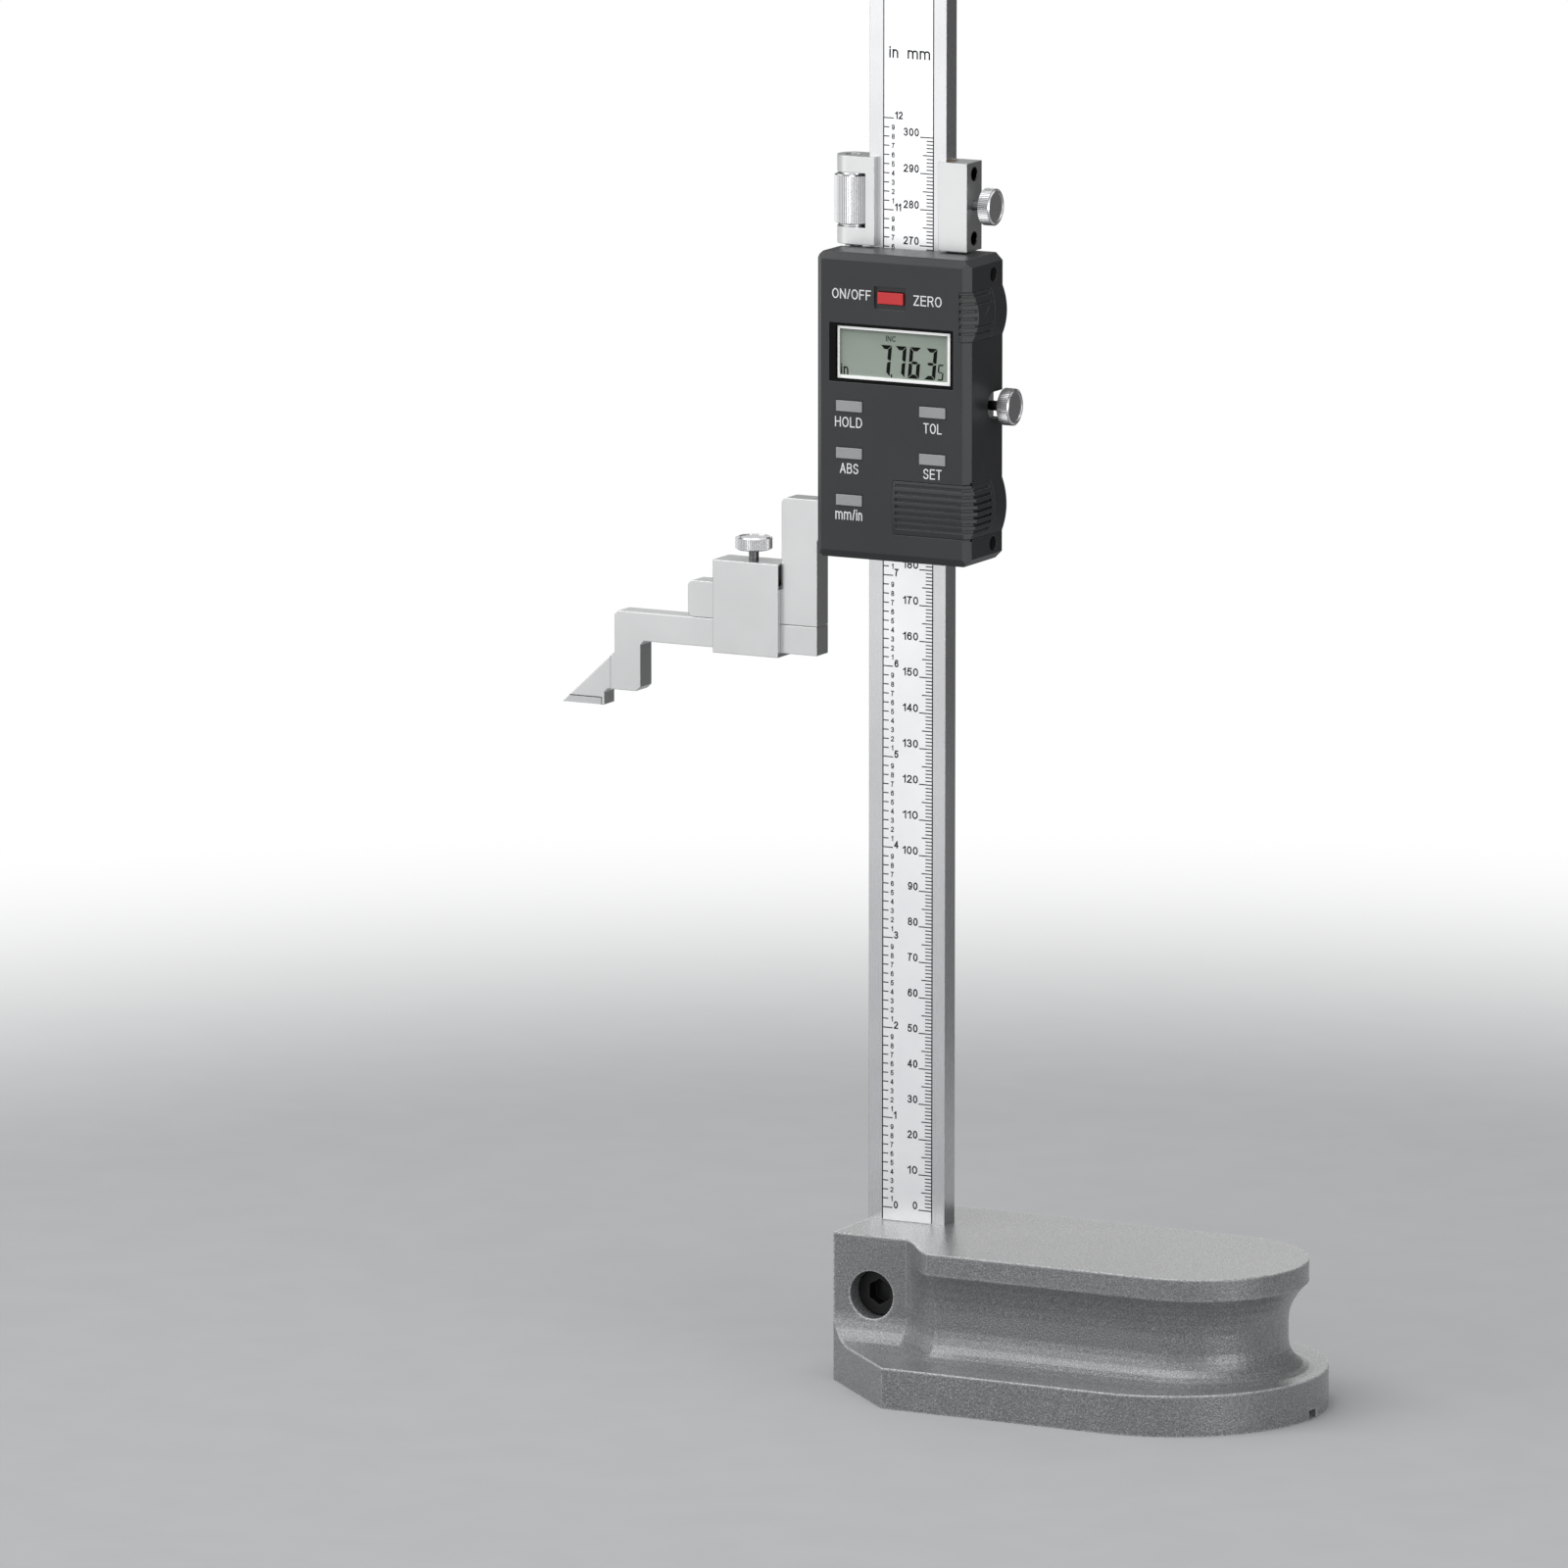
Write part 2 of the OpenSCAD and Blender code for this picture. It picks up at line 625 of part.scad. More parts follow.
module display_cover() {
    color("darkslategray") difference() {
        union() {
            difference() {
                union() {
                    intersection() {
                        slab(unit_front, flange_back) unit_outline();
                        prism(unit_z, unit_top) unit_plan(0);
                        run_x(unit_left, unit_right) unit_side();
                    }
                    grip_root(door_z, door_h);
                    grip_root(port_z, port_h);
                }
                block([unit_left - 1, unit_back, unit_z - 1], [slot_right, flange_back + 1, unit_top + 1]);
                block([cavity_left, wall_inside, cavity_z], [cavity_right, unit_back + 1, cavity_top]);
                block([0, unit_back - 1, frame_z - free_gap],
                      [cavity_right - 0.5, flange_back + 1, frame_top + free_gap]);
            }
            for (p = cover_screws) rod_y(p[0], wall_inside - 0.5, chassis_front, p[1], boss_r);
        }
        block([ledge_left - part_gap, ledge_front - part_gap, unit_top - ledge_t - part_gap],
              [ledge_right + part_gap, flange_back + 1, unit_top + 1]);
        for (p = cover_screws) rod_y(p[0], wall_inside + 0.6, chassis_front + 1, p[1], cover_screw_r + 0.02);
        block([lcd_x - window_w / 2 - 0.1, unit_front - 1, lcd_z - window_h / 2 - 0.1],
              [lcd_x + window_w / 2 + 0.1, window_back + seat_gap, lcd_z + window_h / 2 + 0.1]);
        block([lcd_x - lcd_w / 2 - lcd_rim - 0.25, unit_front, lcd_z - lcd_h / 2 - lcd_rim - 0.15],
              [lcd_x + lcd_w / 2 + lcd_rim + 0.25, wall_inside + 1, lcd_z + lcd_h / 2 + lcd_rim + 0.15]);
        block([red_x - red_pocket[0] / 2, unit_front - 1, red_z - red_pocket[1] / 2],
              [red_x + red_pocket[0] / 2, unit_front + red_pocket[2], red_z + red_pocket[1] / 2]);
        key_hole(red_x, red_z, red_w, red_h);
        for (z = key_rows) key_hole(left_keys_x, z, key_w, key_h);
        for (i = [0, 1]) key_hole(right_keys_x, key_rows[i], key_w, key_h);
        block([door_left - part_gap, unit_front - 1, door_z - door_h / 2 - part_gap],
              [unit_right + 5, wall_inside + 0.5, door_z + door_h / 2 + part_gap]);
        block([cavity_right - 0.2, unit_front - 1, door_z - door_h / 2 - part_gap],
              [unit_right + 5, grip_y + part_gap, door_z + door_h / 2 + part_gap]);
        block([cavity_right - 0.2, wall_inside - 0.05, door_z - door_h / 2 - 0.75],
              [unit_right + 5, wall_inside + 0.85, door_z + door_h / 2 + 0.75]);
        block([cavity_right - 1.1, unit_front - 1, port_z - port_h / 2 - part_gap],
              [unit_right + 5, wall_inside + 0.5, port_z + port_h / 2 + part_gap]);
        block([cavity_right - 0.2, unit_front - 1, port_z - port_h / 2 - part_gap],
              [unit_right + 5, grip_y + part_gap, port_z + port_h / 2 + part_gap]);
        run_x(frame_right, unit_right + 5) {
            translate([clamp_y, clamp_z]) circle(r = clamp_notch);
            translate([clamp_y, clamp_z - clamp_notch]) square([10, 2 * clamp_notch]);
        }
        for (z = gib_screw_z) rod_x(frame_right, unit_right + 5, gib_screw_y, z, 2.1);
    }
}

module display_chassis() {
    color("dimgray") difference() {
        union() {
            block([cavity_left + part_gap, chassis_front, cavity_z + part_gap],
                  [cavity_right - part_gap - 0.5, chassis_back, cavity_top - part_gap]);
            block([ledge_left, ledge_front, unit_top - ledge_t], [ledge_right, chassis_back, unit_top]);
            block([slot_left - 0.3, chassis_front, frame_top + 0.2],
                  [slot_right, -beam_y - free_gap, unit_top]);
            block([slot_right - eps, chassis_front, frame_top + 0.2], [ledge_right, flange_back, unit_top]);
        }
        for (p = cover_screws) rod_y(p[0], chassis_front - 1, chassis_back + 1, p[1], cover_screw_r + 0.1);
    }
}

module reader_plate() {
    color("darkgreen") block([-window_half + 0.2, chassis_back + seat_gap, frame_z + window_margin + 0.2],
        [window_half - 0.2, -beam_y - 0.4, frame_top - window_margin - 0.2]);
}

module circuit_board() {
    color("darkgreen") difference() {
        block([cavity_left + 0.8, board_front, cavity_z + 0.8], [cavity_right - 1, board_back, cavity_top - 1.8]);
        for (p = cover_screws) rod_y(p[0], board_front - 1, board_back + 1, p[1], boss_r + 0.2);
    }
}

module lcd_connectors() {
    color("pink") for (side = [-1, 1])
        block([lcd_x - lcd_w / 2 + 0.5, window_back + 3.4, lcd_z + side * 5.2 - 0.8],
              [lcd_x + lcd_w / 2 - 0.5, board_front - seat_gap, lcd_z + side * 5.2 + 0.8]);
}

module lcd_panel() {
    color("darkseagreen") block([lcd_x - lcd_w / 2, window_back + 0.5, lcd_z - lcd_h / 2],
        [lcd_x + lcd_w / 2, window_back + 3.35, lcd_z + lcd_h / 2]);
}

module lcd_frame() {
    color("white") difference() {
        block([lcd_x - lcd_w / 2 - lcd_rim, window_back + 0.1, lcd_z - lcd_h / 2 - lcd_rim],
              [lcd_x + lcd_w / 2 + lcd_rim, board_front - seat_gap, lcd_z + lcd_h / 2 + lcd_rim]);
        block([lcd_x - lcd_w / 2 - seat_gap, window_back - 1, lcd_z - lcd_h / 2 - seat_gap],
              [lcd_x + lcd_w / 2 + seat_gap, board_front + 1, lcd_z + lcd_h / 2 + seat_gap]);
    }
}

module display_window() {
    color("lightblue") block([lcd_x - window_w / 2, window_front, lcd_z - window_h / 2],
        [lcd_x + window_w / 2, window_back, lcd_z + window_h / 2]);
}

module cover_screws() {
    color("gray") for (p = cover_screws)
        difference() {
            union() {
                rod_y(p[0], frame_back - 1.95, frame_back - 0.3, p[1], cover_screw_r + 0.9);
                rod_y(p[0], wall_inside + 1.2, frame_back - 1.5, p[1], cover_screw_r);
            }
            block([p[0] - 1.2, frame_back - 1, p[1] - 0.2], [p[0] + 1.2, frame_back, p[1] + 0.2]);
            block([p[0] - 0.2, frame_back - 1, p[1] - 1.2], [p[0] + 0.2, frame_back, p[1] + 1.2]);
        }
}

// Rubber domes under the keys, on a sheet that lies on the board
module key_mat() {
    sheet = dome_top + 0.55;
    seat = board_front - seat_gap;
    color("darkgray") {
        block([left_keys_x - mat_half, sheet, key_rows[2] - mat_margin],
              [left_keys_x + mat_half, seat, key_rows[0] + mat_margin]);
        block([left_keys_x - mat_half, sheet, key_rows[1] - mat_margin],
              [right_keys_x + mat_half, seat, key_rows[0] + mat_margin]);
        for (z = key_rows) rod_y(left_keys_x, dome_top, seat, z, dome_r);
        for (i = [0, 1]) rod_y(right_keys_x, dome_top, seat, key_rows[i], dome_r);
        block([red_x - mat_half, sheet, red_z - red_h / 2 - dome_r], [red_x + mat_half, seat, red_z + red_h / 2 + dome_r]);
        rod_y(red_x, dome_top, seat, red_z, dome_r);
    }
}

// Key with a flange behind the front wall and a stem down to its dome
module key(x, z, w, h, front) {
    block([x - w / 2, front, z - h / 2], [x + w / 2, key_flange + eps, z + h / 2]);
    block([x - w / 2 - 0.6, key_flange, z - h / 2 - 0.6],
          [x + w / 2 + 0.6, key_flange + key_flange_t, z + h / 2 + 0.6]);
    rod_y(x, key_flange, stem_end, z, 1.3);
}

module on_zero_key() color("crimson") key(red_x, red_z, red_w, red_h, unit_front + 0.1);
module hold_key() color("darkgray") key(left_keys_x, key_rows[0], key_w, key_h, key_front);
module abs_key() color("darkgray") key(left_keys_x, key_rows[1], key_w, key_h, key_front);
module unit_key() color("darkgray") key(left_keys_x, key_rows[2], key_w, key_h, key_front);
module tol_key() color("darkgray") key(right_keys_x, key_rows[0], key_w, key_h, key_front);
module set_key() color("darkgray") key(right_keys_x, key_rows[1], key_w, key_h, key_front);

module battery() {
    color("silver") {
        rod_y(cell_x, wall_inside + 0.75, wall_inside + 0.75 + cell_t, door_z, cell_d / 2);
    }
}

module battery_contacts() {
    color("gold") {
        rod_y(cell_x, wall_inside + 0.8 + cell_t, board_front - seat_gap, door_z, 3.5);
        block([cell_x - 2, wall_inside + 2, door_z + cell_d / 2 + seat_gap],
              [cell_x + 2, board_front - seat_gap, door_z + cell_d / 2 + 0.4]);
    }
}

// Heights of a cover's grooves, from their count, pitch and shift
function groove_z(z, ribs) = [for (i = [0 : ribs[0] - 1]) z + ribs[2] + (i - (ribs[0] - 1) / 2) * ribs[1]];

// Grooves across a grip: thin slabs, kept off the core that lies deeper than the groove
module grip_grooves(z, ribs, y_end, deep, more) {
    difference() {
        for (h = groove_z(z, ribs))
            block([door_left + 0.6, unit_front - 2, h - groove_half], [unit_right + 3, y_end, h + groove_half]);
        prism(z - 10, z + 10) translate([-deep, deep]) unit_plan(more);
    }
}

// Short grooves on the side of the data socket's cover, two above and two below its arrow
module port_side_grooves() {
    rows = groove_z(port_z, port_ribs);
    difference() {
        for (i = [0, 1, 4, 5])
            block([cavity_right, unit_front, rows[i] - 0.3], [unit_right + 3, grip_y - 1.4, rows[i] + 0.3]);
        translate([-0.35, 0, 0]) bulge(port_z, port_h, grip_bulge);
    }
    for (turn = [-40, 40])
        translate([0, grip_y - 6.2, port_z]) rotate([turn, 0, 0])
            block([unit_right + grip_bulge - 0.4, 0, -0.22], [unit_right + 3, 3.6, 0.22]);
}

module battery_cover() {
    crown_r = (door_h * door_h / 4 + door_crown * door_crown) / (2 * door_crown);
    half = door_h / 2;
    color("darkslategray") difference() {
        union() {
            difference() {
                intersection() {
                    prism(door_z - half, door_z + half) translate([0, -door_crown - 0.1]) unit_plan(grip_bulge + 0.2);
                    rod_x(door_left, unit_right + 3, unit_front - door_crown + crown_r, door_z, crown_r);
                    bulge(door_z, door_h, grip_bulge);
                }
                block([door_left - 1, wall_inside + 0.35, door_z - half - 1],
                      [cavity_right + 0.2, flange_back + 1, door_z + half + 1]);
                block([door_left - 1, grip_y, door_z - half - 1],
                      [unit_right + 5, flange_back + 1, door_z + half + 1]);
            }
            block([door_left + 1.3, wall_inside + 0.1, door_z - half - 0.55],
                  [cavity_right + 0.3, wall_inside + 0.65, door_z + half + 0.55]);
        }
        grip_grooves(door_z, door_ribs, grip_y - 1.4, 0.2, 0.4);
    }
}

module data_port() {
    color("black") difference() {
        block([cavity_right - 6.4, board_front - 3.9, port_z - 4], [cavity_right - 1.3, board_front - seat_gap, port_z + 4]);
        block([cavity_right - 5, board_front - 3.1, port_z - 3.2], [cavity_right, board_front - 1, port_z + 3.2]);
    }
}

module data_port_cover() {
    half = port_h / 2;
    color("darkslategray") difference() {
        union() {
            intersection() {
                difference() {
                    prism(port_z - half, port_z + half) unit_plan(grip_bulge + 0.2);
                    block([unit_left - 1, unit_front - 1, port_z - half - 1],
                          [cavity_right - 0.95, flange_back + 1, port_z + half + 1]);
                    block([unit_left, wall_inside + 0.35, port_z - half - 1],
                          [cavity_right + 0.1, flange_back + 1, port_z + half + 1]);
                    block([unit_left, grip_y, port_z - half - 1],
                          [unit_right + 5, flange_back + 1, port_z + half + 1]);
                }
                bulge(port_z, port_h, grip_bulge);
            }
            block([cavity_right - 3.4, board_front - 2.8, port_z - 2.9],
                  [cavity_right + 0.3, board_front - 1.3, port_z + 2.9]);
        }
        grip_grooves(port_z, port_ribs, unit_front + corner + 1.1, 0.4, grip_bulge);
        port_side_grooves();
    }
}

// Fine adjustment

module carriage_plan() {
    translate([feed_x, feed_y]) circle(r = carriage_r);
    translate([feed_x, carriage_front]) square([carriage_right - feed_x, carriage_d]);
}

module carriage() {
    color("lightgray") difference() {
        prism(carriage_z, carriage_top) carriage_plan();
        block([slot_left, -beam_y - run_gap, carriage_z - 1], [slot_right, beam_y + run_gap, carriage_top + 1]);
        block([lip_left, carriage_front - 1, carriage_z - 1], [lip_right, 0, carriage_top + 1]);
        block([feed_x - 10, carriage_front - 1, nut_z], [nut_window_right, carriage_back + 1, nut_top]);
        block([nut_window_right - 1, -beam_y - run_gap, nut_z], [slot_left + 1, beam_y + run_gap, nut_top]);
        rod_z(feed_x, feed_y, carriage_z - 1, carriage_top + 1, feed_hole_r);
        rod_x(lip_right, carriage_right + 1, feed_y, carriage_clamp_z, thumb_d / 2 + run_gap);
        for (z = carriage_gib_z) rod_x(slot_right - 1, carriage_right + 1, feed_y, z, gib_screw_r + run_gap);
        for (x = plate_screw_x, z = plate_screw_z) rod_y(x, 1.6, carriage_back + 1, z, 0.92);
    }
}

module carriage_plate() {
    color("silver") difference() {
        slab(carriage_back, carriage_back + plate_t)
            difference() {
                round_rect([slot_left - 3.8, carriage_z + 0.6], [slot_right + 4.6, carriage_top - 0.6], 1.2);
                translate([slot_left - 5, nut_z]) square([nut_clear - slot_left + 5, nut_window]);
            }
        for (x = plate_screw_x, z = plate_screw_z) rod_y(x, 0, carriage_back + 5, z, 1);
    }
}

module carriage_plate_screws() {
    color("gray") for (x = plate_screw_x, z = plate_screw_z)
        difference() {
            union() {
                rod_y(x, 1.8, carriage_back + plate_t + 0.3, z, 0.9);
                rod_y(x, carriage_back + plate_t, carriage_back + plate_t + 0.8, z, 1.7);
            }
            block([x - 2, carriage_back + plate_t + 0.4, z - 0.2], [x + 2, carriage_back + plate_t + 1, z + 0.2]);
        }
}

module carriage_gib() gib(carriage_z + 0.6, carriage_top - 0.6);
module carriage_gib_screws() color("dimgray") for (z = carriage_gib_z) gib_screw(feed_y, z);

module carriage_clamp_screw() {
    color("silver") translate([slot_right + run_gap, feed_y, carriage_clamp_z]) rotate([0, 90, 0])
        thumb_screw(carriage_right + 3.15 - slot_right);
}

module fine_feed_screw() {
    color("gray") {
        rod_z(feed_x, feed_y, frame_top - feed_depth + 0.3, carriage_top - 0.3, feed_d / 2);
        rod_z(feed_x, feed_y, frame_top, carriage_z - 0.5, feed_d / 2 + 0.45);
    }
}

module fine_feed_nut() {
    low = nut_z + run_gap;
    high = nut_top - run_gap;
    edge = 0.4;
    color("silver") difference() {
        translate([feed_x, feed_y, 0]) {
            translate([0, 0, low]) cylinder(h = high - low, r = nut_d / 2 - 1.8);
            translate([0, 0, low + nut_hub + edge]) linear_extrude(high - low - 2 * (nut_hub + edge))
                knurl(nut_d, knurl_count, knurl_depth);
            translate([0, 0, low + nut_hub])
                cylinder(h = edge + eps, r1 = nut_d / 2 - 0.7, r2 = nut_d / 2 - 0.32);
            translate([0, 0, high - nut_hub - edge - eps])
                cylinder(h = edge + eps, r1 = nut_d / 2 - 0.32, r2 = nut_d / 2 - 0.7);
        }
        rod_z(feed_x, feed_y, nut_z - 1, nut_top + 1, feed_d / 2 + run_gap);
    }
}

// Scriber and its clamp

module scriber_clamp() {
    color("lightgray") difference() {
        block([box_left, box_front, box_z], [box_right, box_back, box_top]);
        block([box_left - 1, box_window_front, box_floor], [box_right + 1, box_window_back, box_ceiling]);
        block([box_right - 1.4, box_front + 0.5, arm_top - 0.5], [box_right + 1, box_window_back, box_top - 0.4]);
        rod_z(box_screw_x, box_screw_y, box_floor, box_top + 1, thumb_d / 2 + run_gap);
    }
}

module scriber_clamp_pad() {
    color("goldenrod") block([box_screw_x - 4, jaw_front + 0.2, pad_z], [box_screw_x + 4, jaw_back - 0.2, pad_z + pad_t]);
}

module scriber_clamp_screw() {
    tip = pad_z + pad_t + run_gap;
    color("silver") translate([box_screw_x, box_screw_y, tip]) thumb_screw(box_top + box_knob_gap - tip);
}

module insert_outline(more) {
    run = tip_reach / (scriber_z - foot_z + 10.7);
    polygon([[tip_x - more, reading_z - more], [insert_back + more, reading_z - more],
             [insert_back + more, reading_z + insert_h + more],
             [tip_x + insert_h * run - more, reading_z + insert_h + more]]);
}

module scriber_outline() {
    polygon([[scriber_end, scriber_top], [leg_left + 1, scriber_top], [leg_left, scriber_top - 1],
             [leg_left, reading_z + blade_rise], [tip_x, reading_z], [foot_right, reading_z],
             [foot_right, foot_z - 1.2], [foot_right + 1.2, foot_z], [leg_right - 1.3, foot_z],
             [leg_right, foot_z + 1.2], [leg_right, scriber_z - 1.2], [leg_right + 1.2, scriber_z],
             [scriber_end, scriber_z]]);
}

module scriber() {
    color("silver") difference() {
        slab(jaw_front, jaw_back) scriber_outline();
        slab(jaw_front - 1, jaw_back + 1) insert_outline(0.02);
        for (y = [[jaw_front - 1, jaw_front + 0.35], [jaw_back - 0.35, jaw_back + 1]])
            block([tip_x - 1, y[0], reading_z - 1], [blade_x, y[1], scriber_top]);
    }
}

module scriber_tip() {
    color("gray") slab(jaw_front + 0.35, jaw_back - 0.35) intersection() {
        insert_outline(0);
        scriber_outline();
    }
}

base();
base_clamp_screw();
beam();
scale_strip();
beam_stop_screws();
slider_frame();
slider_gib();
slider_gib_screws();
slider_clamp_screw();
reader_plate();
display_chassis();
circuit_board();
lcd_connectors();
lcd_panel();
lcd_frame();
display_cover();
display_window();
cover_screws();
key_mat();
on_zero_key();
hold_key();
abs_key();
unit_key();
tol_key();
set_key();
battery();
battery_contacts();
battery_cover();
data_port();
data_port_cover();
carriage();
carriage_plate();
carriage_plate_screws();
carriage_gib();
carriage_gib_screws();
carriage_clamp_screw();
fine_feed_screw();
fine_feed_nut();
scriber_clamp();
scriber_clamp_pad();
scriber_clamp_screw();
scriber();
scriber_tip();
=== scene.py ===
import json
import math

import bpy
from mathutils import Matrix, Vector


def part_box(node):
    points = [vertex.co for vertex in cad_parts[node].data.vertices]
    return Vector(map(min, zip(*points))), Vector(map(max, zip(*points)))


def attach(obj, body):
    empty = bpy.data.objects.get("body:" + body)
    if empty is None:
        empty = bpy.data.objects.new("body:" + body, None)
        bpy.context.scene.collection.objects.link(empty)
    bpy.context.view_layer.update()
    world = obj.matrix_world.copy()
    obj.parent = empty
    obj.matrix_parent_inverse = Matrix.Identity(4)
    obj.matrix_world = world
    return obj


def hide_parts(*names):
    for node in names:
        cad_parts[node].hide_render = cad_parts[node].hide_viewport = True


mm = 0.001

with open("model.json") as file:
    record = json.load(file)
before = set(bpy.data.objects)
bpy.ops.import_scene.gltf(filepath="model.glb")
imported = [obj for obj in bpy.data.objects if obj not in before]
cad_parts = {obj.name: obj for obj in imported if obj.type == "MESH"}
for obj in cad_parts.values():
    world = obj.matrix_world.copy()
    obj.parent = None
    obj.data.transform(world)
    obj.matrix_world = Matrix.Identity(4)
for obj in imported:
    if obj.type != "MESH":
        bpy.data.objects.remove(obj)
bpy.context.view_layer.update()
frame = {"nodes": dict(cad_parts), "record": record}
nodes = frame["nodes"]
print("stage: frame loaded,", len(nodes), "nodes")


def linear(level):
    v = level / 255
    return v / 12.92 if v <= 0.04045 else ((v + 0.055) / 1.055) ** 2.4


def rgb(r, g, b):
    return (linear(r), linear(g), linear(b), 1)


def point(x, y, z):
    return Vector((x * mm, y * mm, z * mm))


def addObject(name, data):
    made = bpy.data.objects.new(name, data)
    bpy.context.scene.collection.objects.link(made)
    return made


# Where the photograph was taken from: place, lens and sensor in mm, turns in degrees, reach in metres
view = {"place": (1875.739, -3664.127, 900.504), "yaw": 27.6013, "pitch": 10.134,
        "lens": 347.52, "sensor": 36, "reach": (0.05, 60)}


def makeCamera():
    data = bpy.data.cameras.new("camera")
    data.lens, data.sensor_width, data.sensor_fit = view["lens"], view["sensor"], "HORIZONTAL"
    data.clip_start, data.clip_end = view["reach"]
    camera = addObject("camera", data)
    camera.location = point(*view["place"])
    camera.rotation_euler = (math.radians(90 - view["pitch"]), 0, math.radians(view["yaw"]))
    bpy.context.scene.camera = camera


# A socket that Python's own arithmetic works on, from either side
class Wire:
    def __init__(self, tree, socket):
        self.tree, self.socket = tree, socket

    def __add__(self, other):
        return self.tree.calc("ADD", self, other)

    def __radd__(self, other):
        return self.tree.calc("ADD", other, self)

    def __sub__(self, other):
        return self.tree.calc("SUBTRACT", self, other)

    def __rsub__(self, other):
        return self.tree.calc("SUBTRACT", other, self)

    def __mul__(self, other):
        return self.tree.calc("MULTIPLY", self, other)

    def __rmul__(self, other):
        return self.tree.calc("MULTIPLY", other, self)

    def __truediv__(self, other):
        return self.tree.calc("DIVIDE", self, other)

    def __rtruediv__(self, other):
        return self.tree.calc("DIVIDE", other, self)

    def __mod__(self, other):
        return self.tree.calc("MODULO", self, other)

    def __rmod__(self, other):
        return self.tree.calc("MODULO", other, self)

    def __abs__(self):
        return self.tree.calc("ABSOLUTE", self)

    def __lt__(self, other):
        return self.tree.calc("LESS_THAN", self, other)

    def __gt__(self, other):
        return self.tree.calc("GREATER_THAN", self, other)


# A node tree: add() makes any node from its type, its settings and what its sockets are given
class Tree:
    def __init__(self, nodeTree):
        self.nodeTree = nodeTree

    def plug(self, socket, value):
        if isinstance(value, Wire):
            self.nodeTree.links.new(value.socket, socket)
        else:
            socket.default_value = value

    def add(self, kind, settings=None, sockets=None, out=0):
        made = self.nodeTree.nodes.new(kind)
        for name, value in (settings or {}).items():
            setattr(made, name, value)
        for key, value in (sockets or {}).items():
            self.plug(made.inputs[key], value)
        return Wire(self, made.outputs[out]) if len(made.outputs) else None

    def addAll(self, kind, sockets=None):  # the same, with every output
        return [Wire(self, socket) for socket in self.add(kind, None, sockets).socket.node.outputs]

    def calc(self, operation, *terms):
        return self.add("ShaderNodeMath", {"operation": operation}, dict(enumerate(terms)))

    def vector(self, operation, a, b=(0, 0, 0), out="Vector"):
        return self.add("ShaderNodeVectorMath", {"operation": operation}, {0: a, 1: b}, out)

    def mix(self, amount, a, b):  # inputs 6 and 7 and output 2 are its colours
        return self.add("ShaderNodeMix", {"data_type": "RGBA"}, {0: amount, 6: a, 7: b}, 2)

    def ramp(self, value, low, high):
        return self.add("ShaderNodeMapRange", {"interpolation_type": "SMOOTHSTEP"},
                        {"Value": value, "From Min": low, "From Max": high})

    def place(self):
        return self.add("ShaderNodeTexCoord", out="Object")

    def parts(self, vector):
        return self.addAll("ShaderNodeSeparateXYZ", {0: vector})

    def noise(self, scale, detail=2.0):  # scale in 1/m: one number, or one for each of X, Y and Z
        scale = scale if isinstance(scale, tuple) else (scale,) * 3
        where = self.vector("MULTIPLY", self.place(), scale)
        return self.add("ShaderNodeTexNoise", None, {"Vector": where, "Scale": 1.0, "Detail": detail})


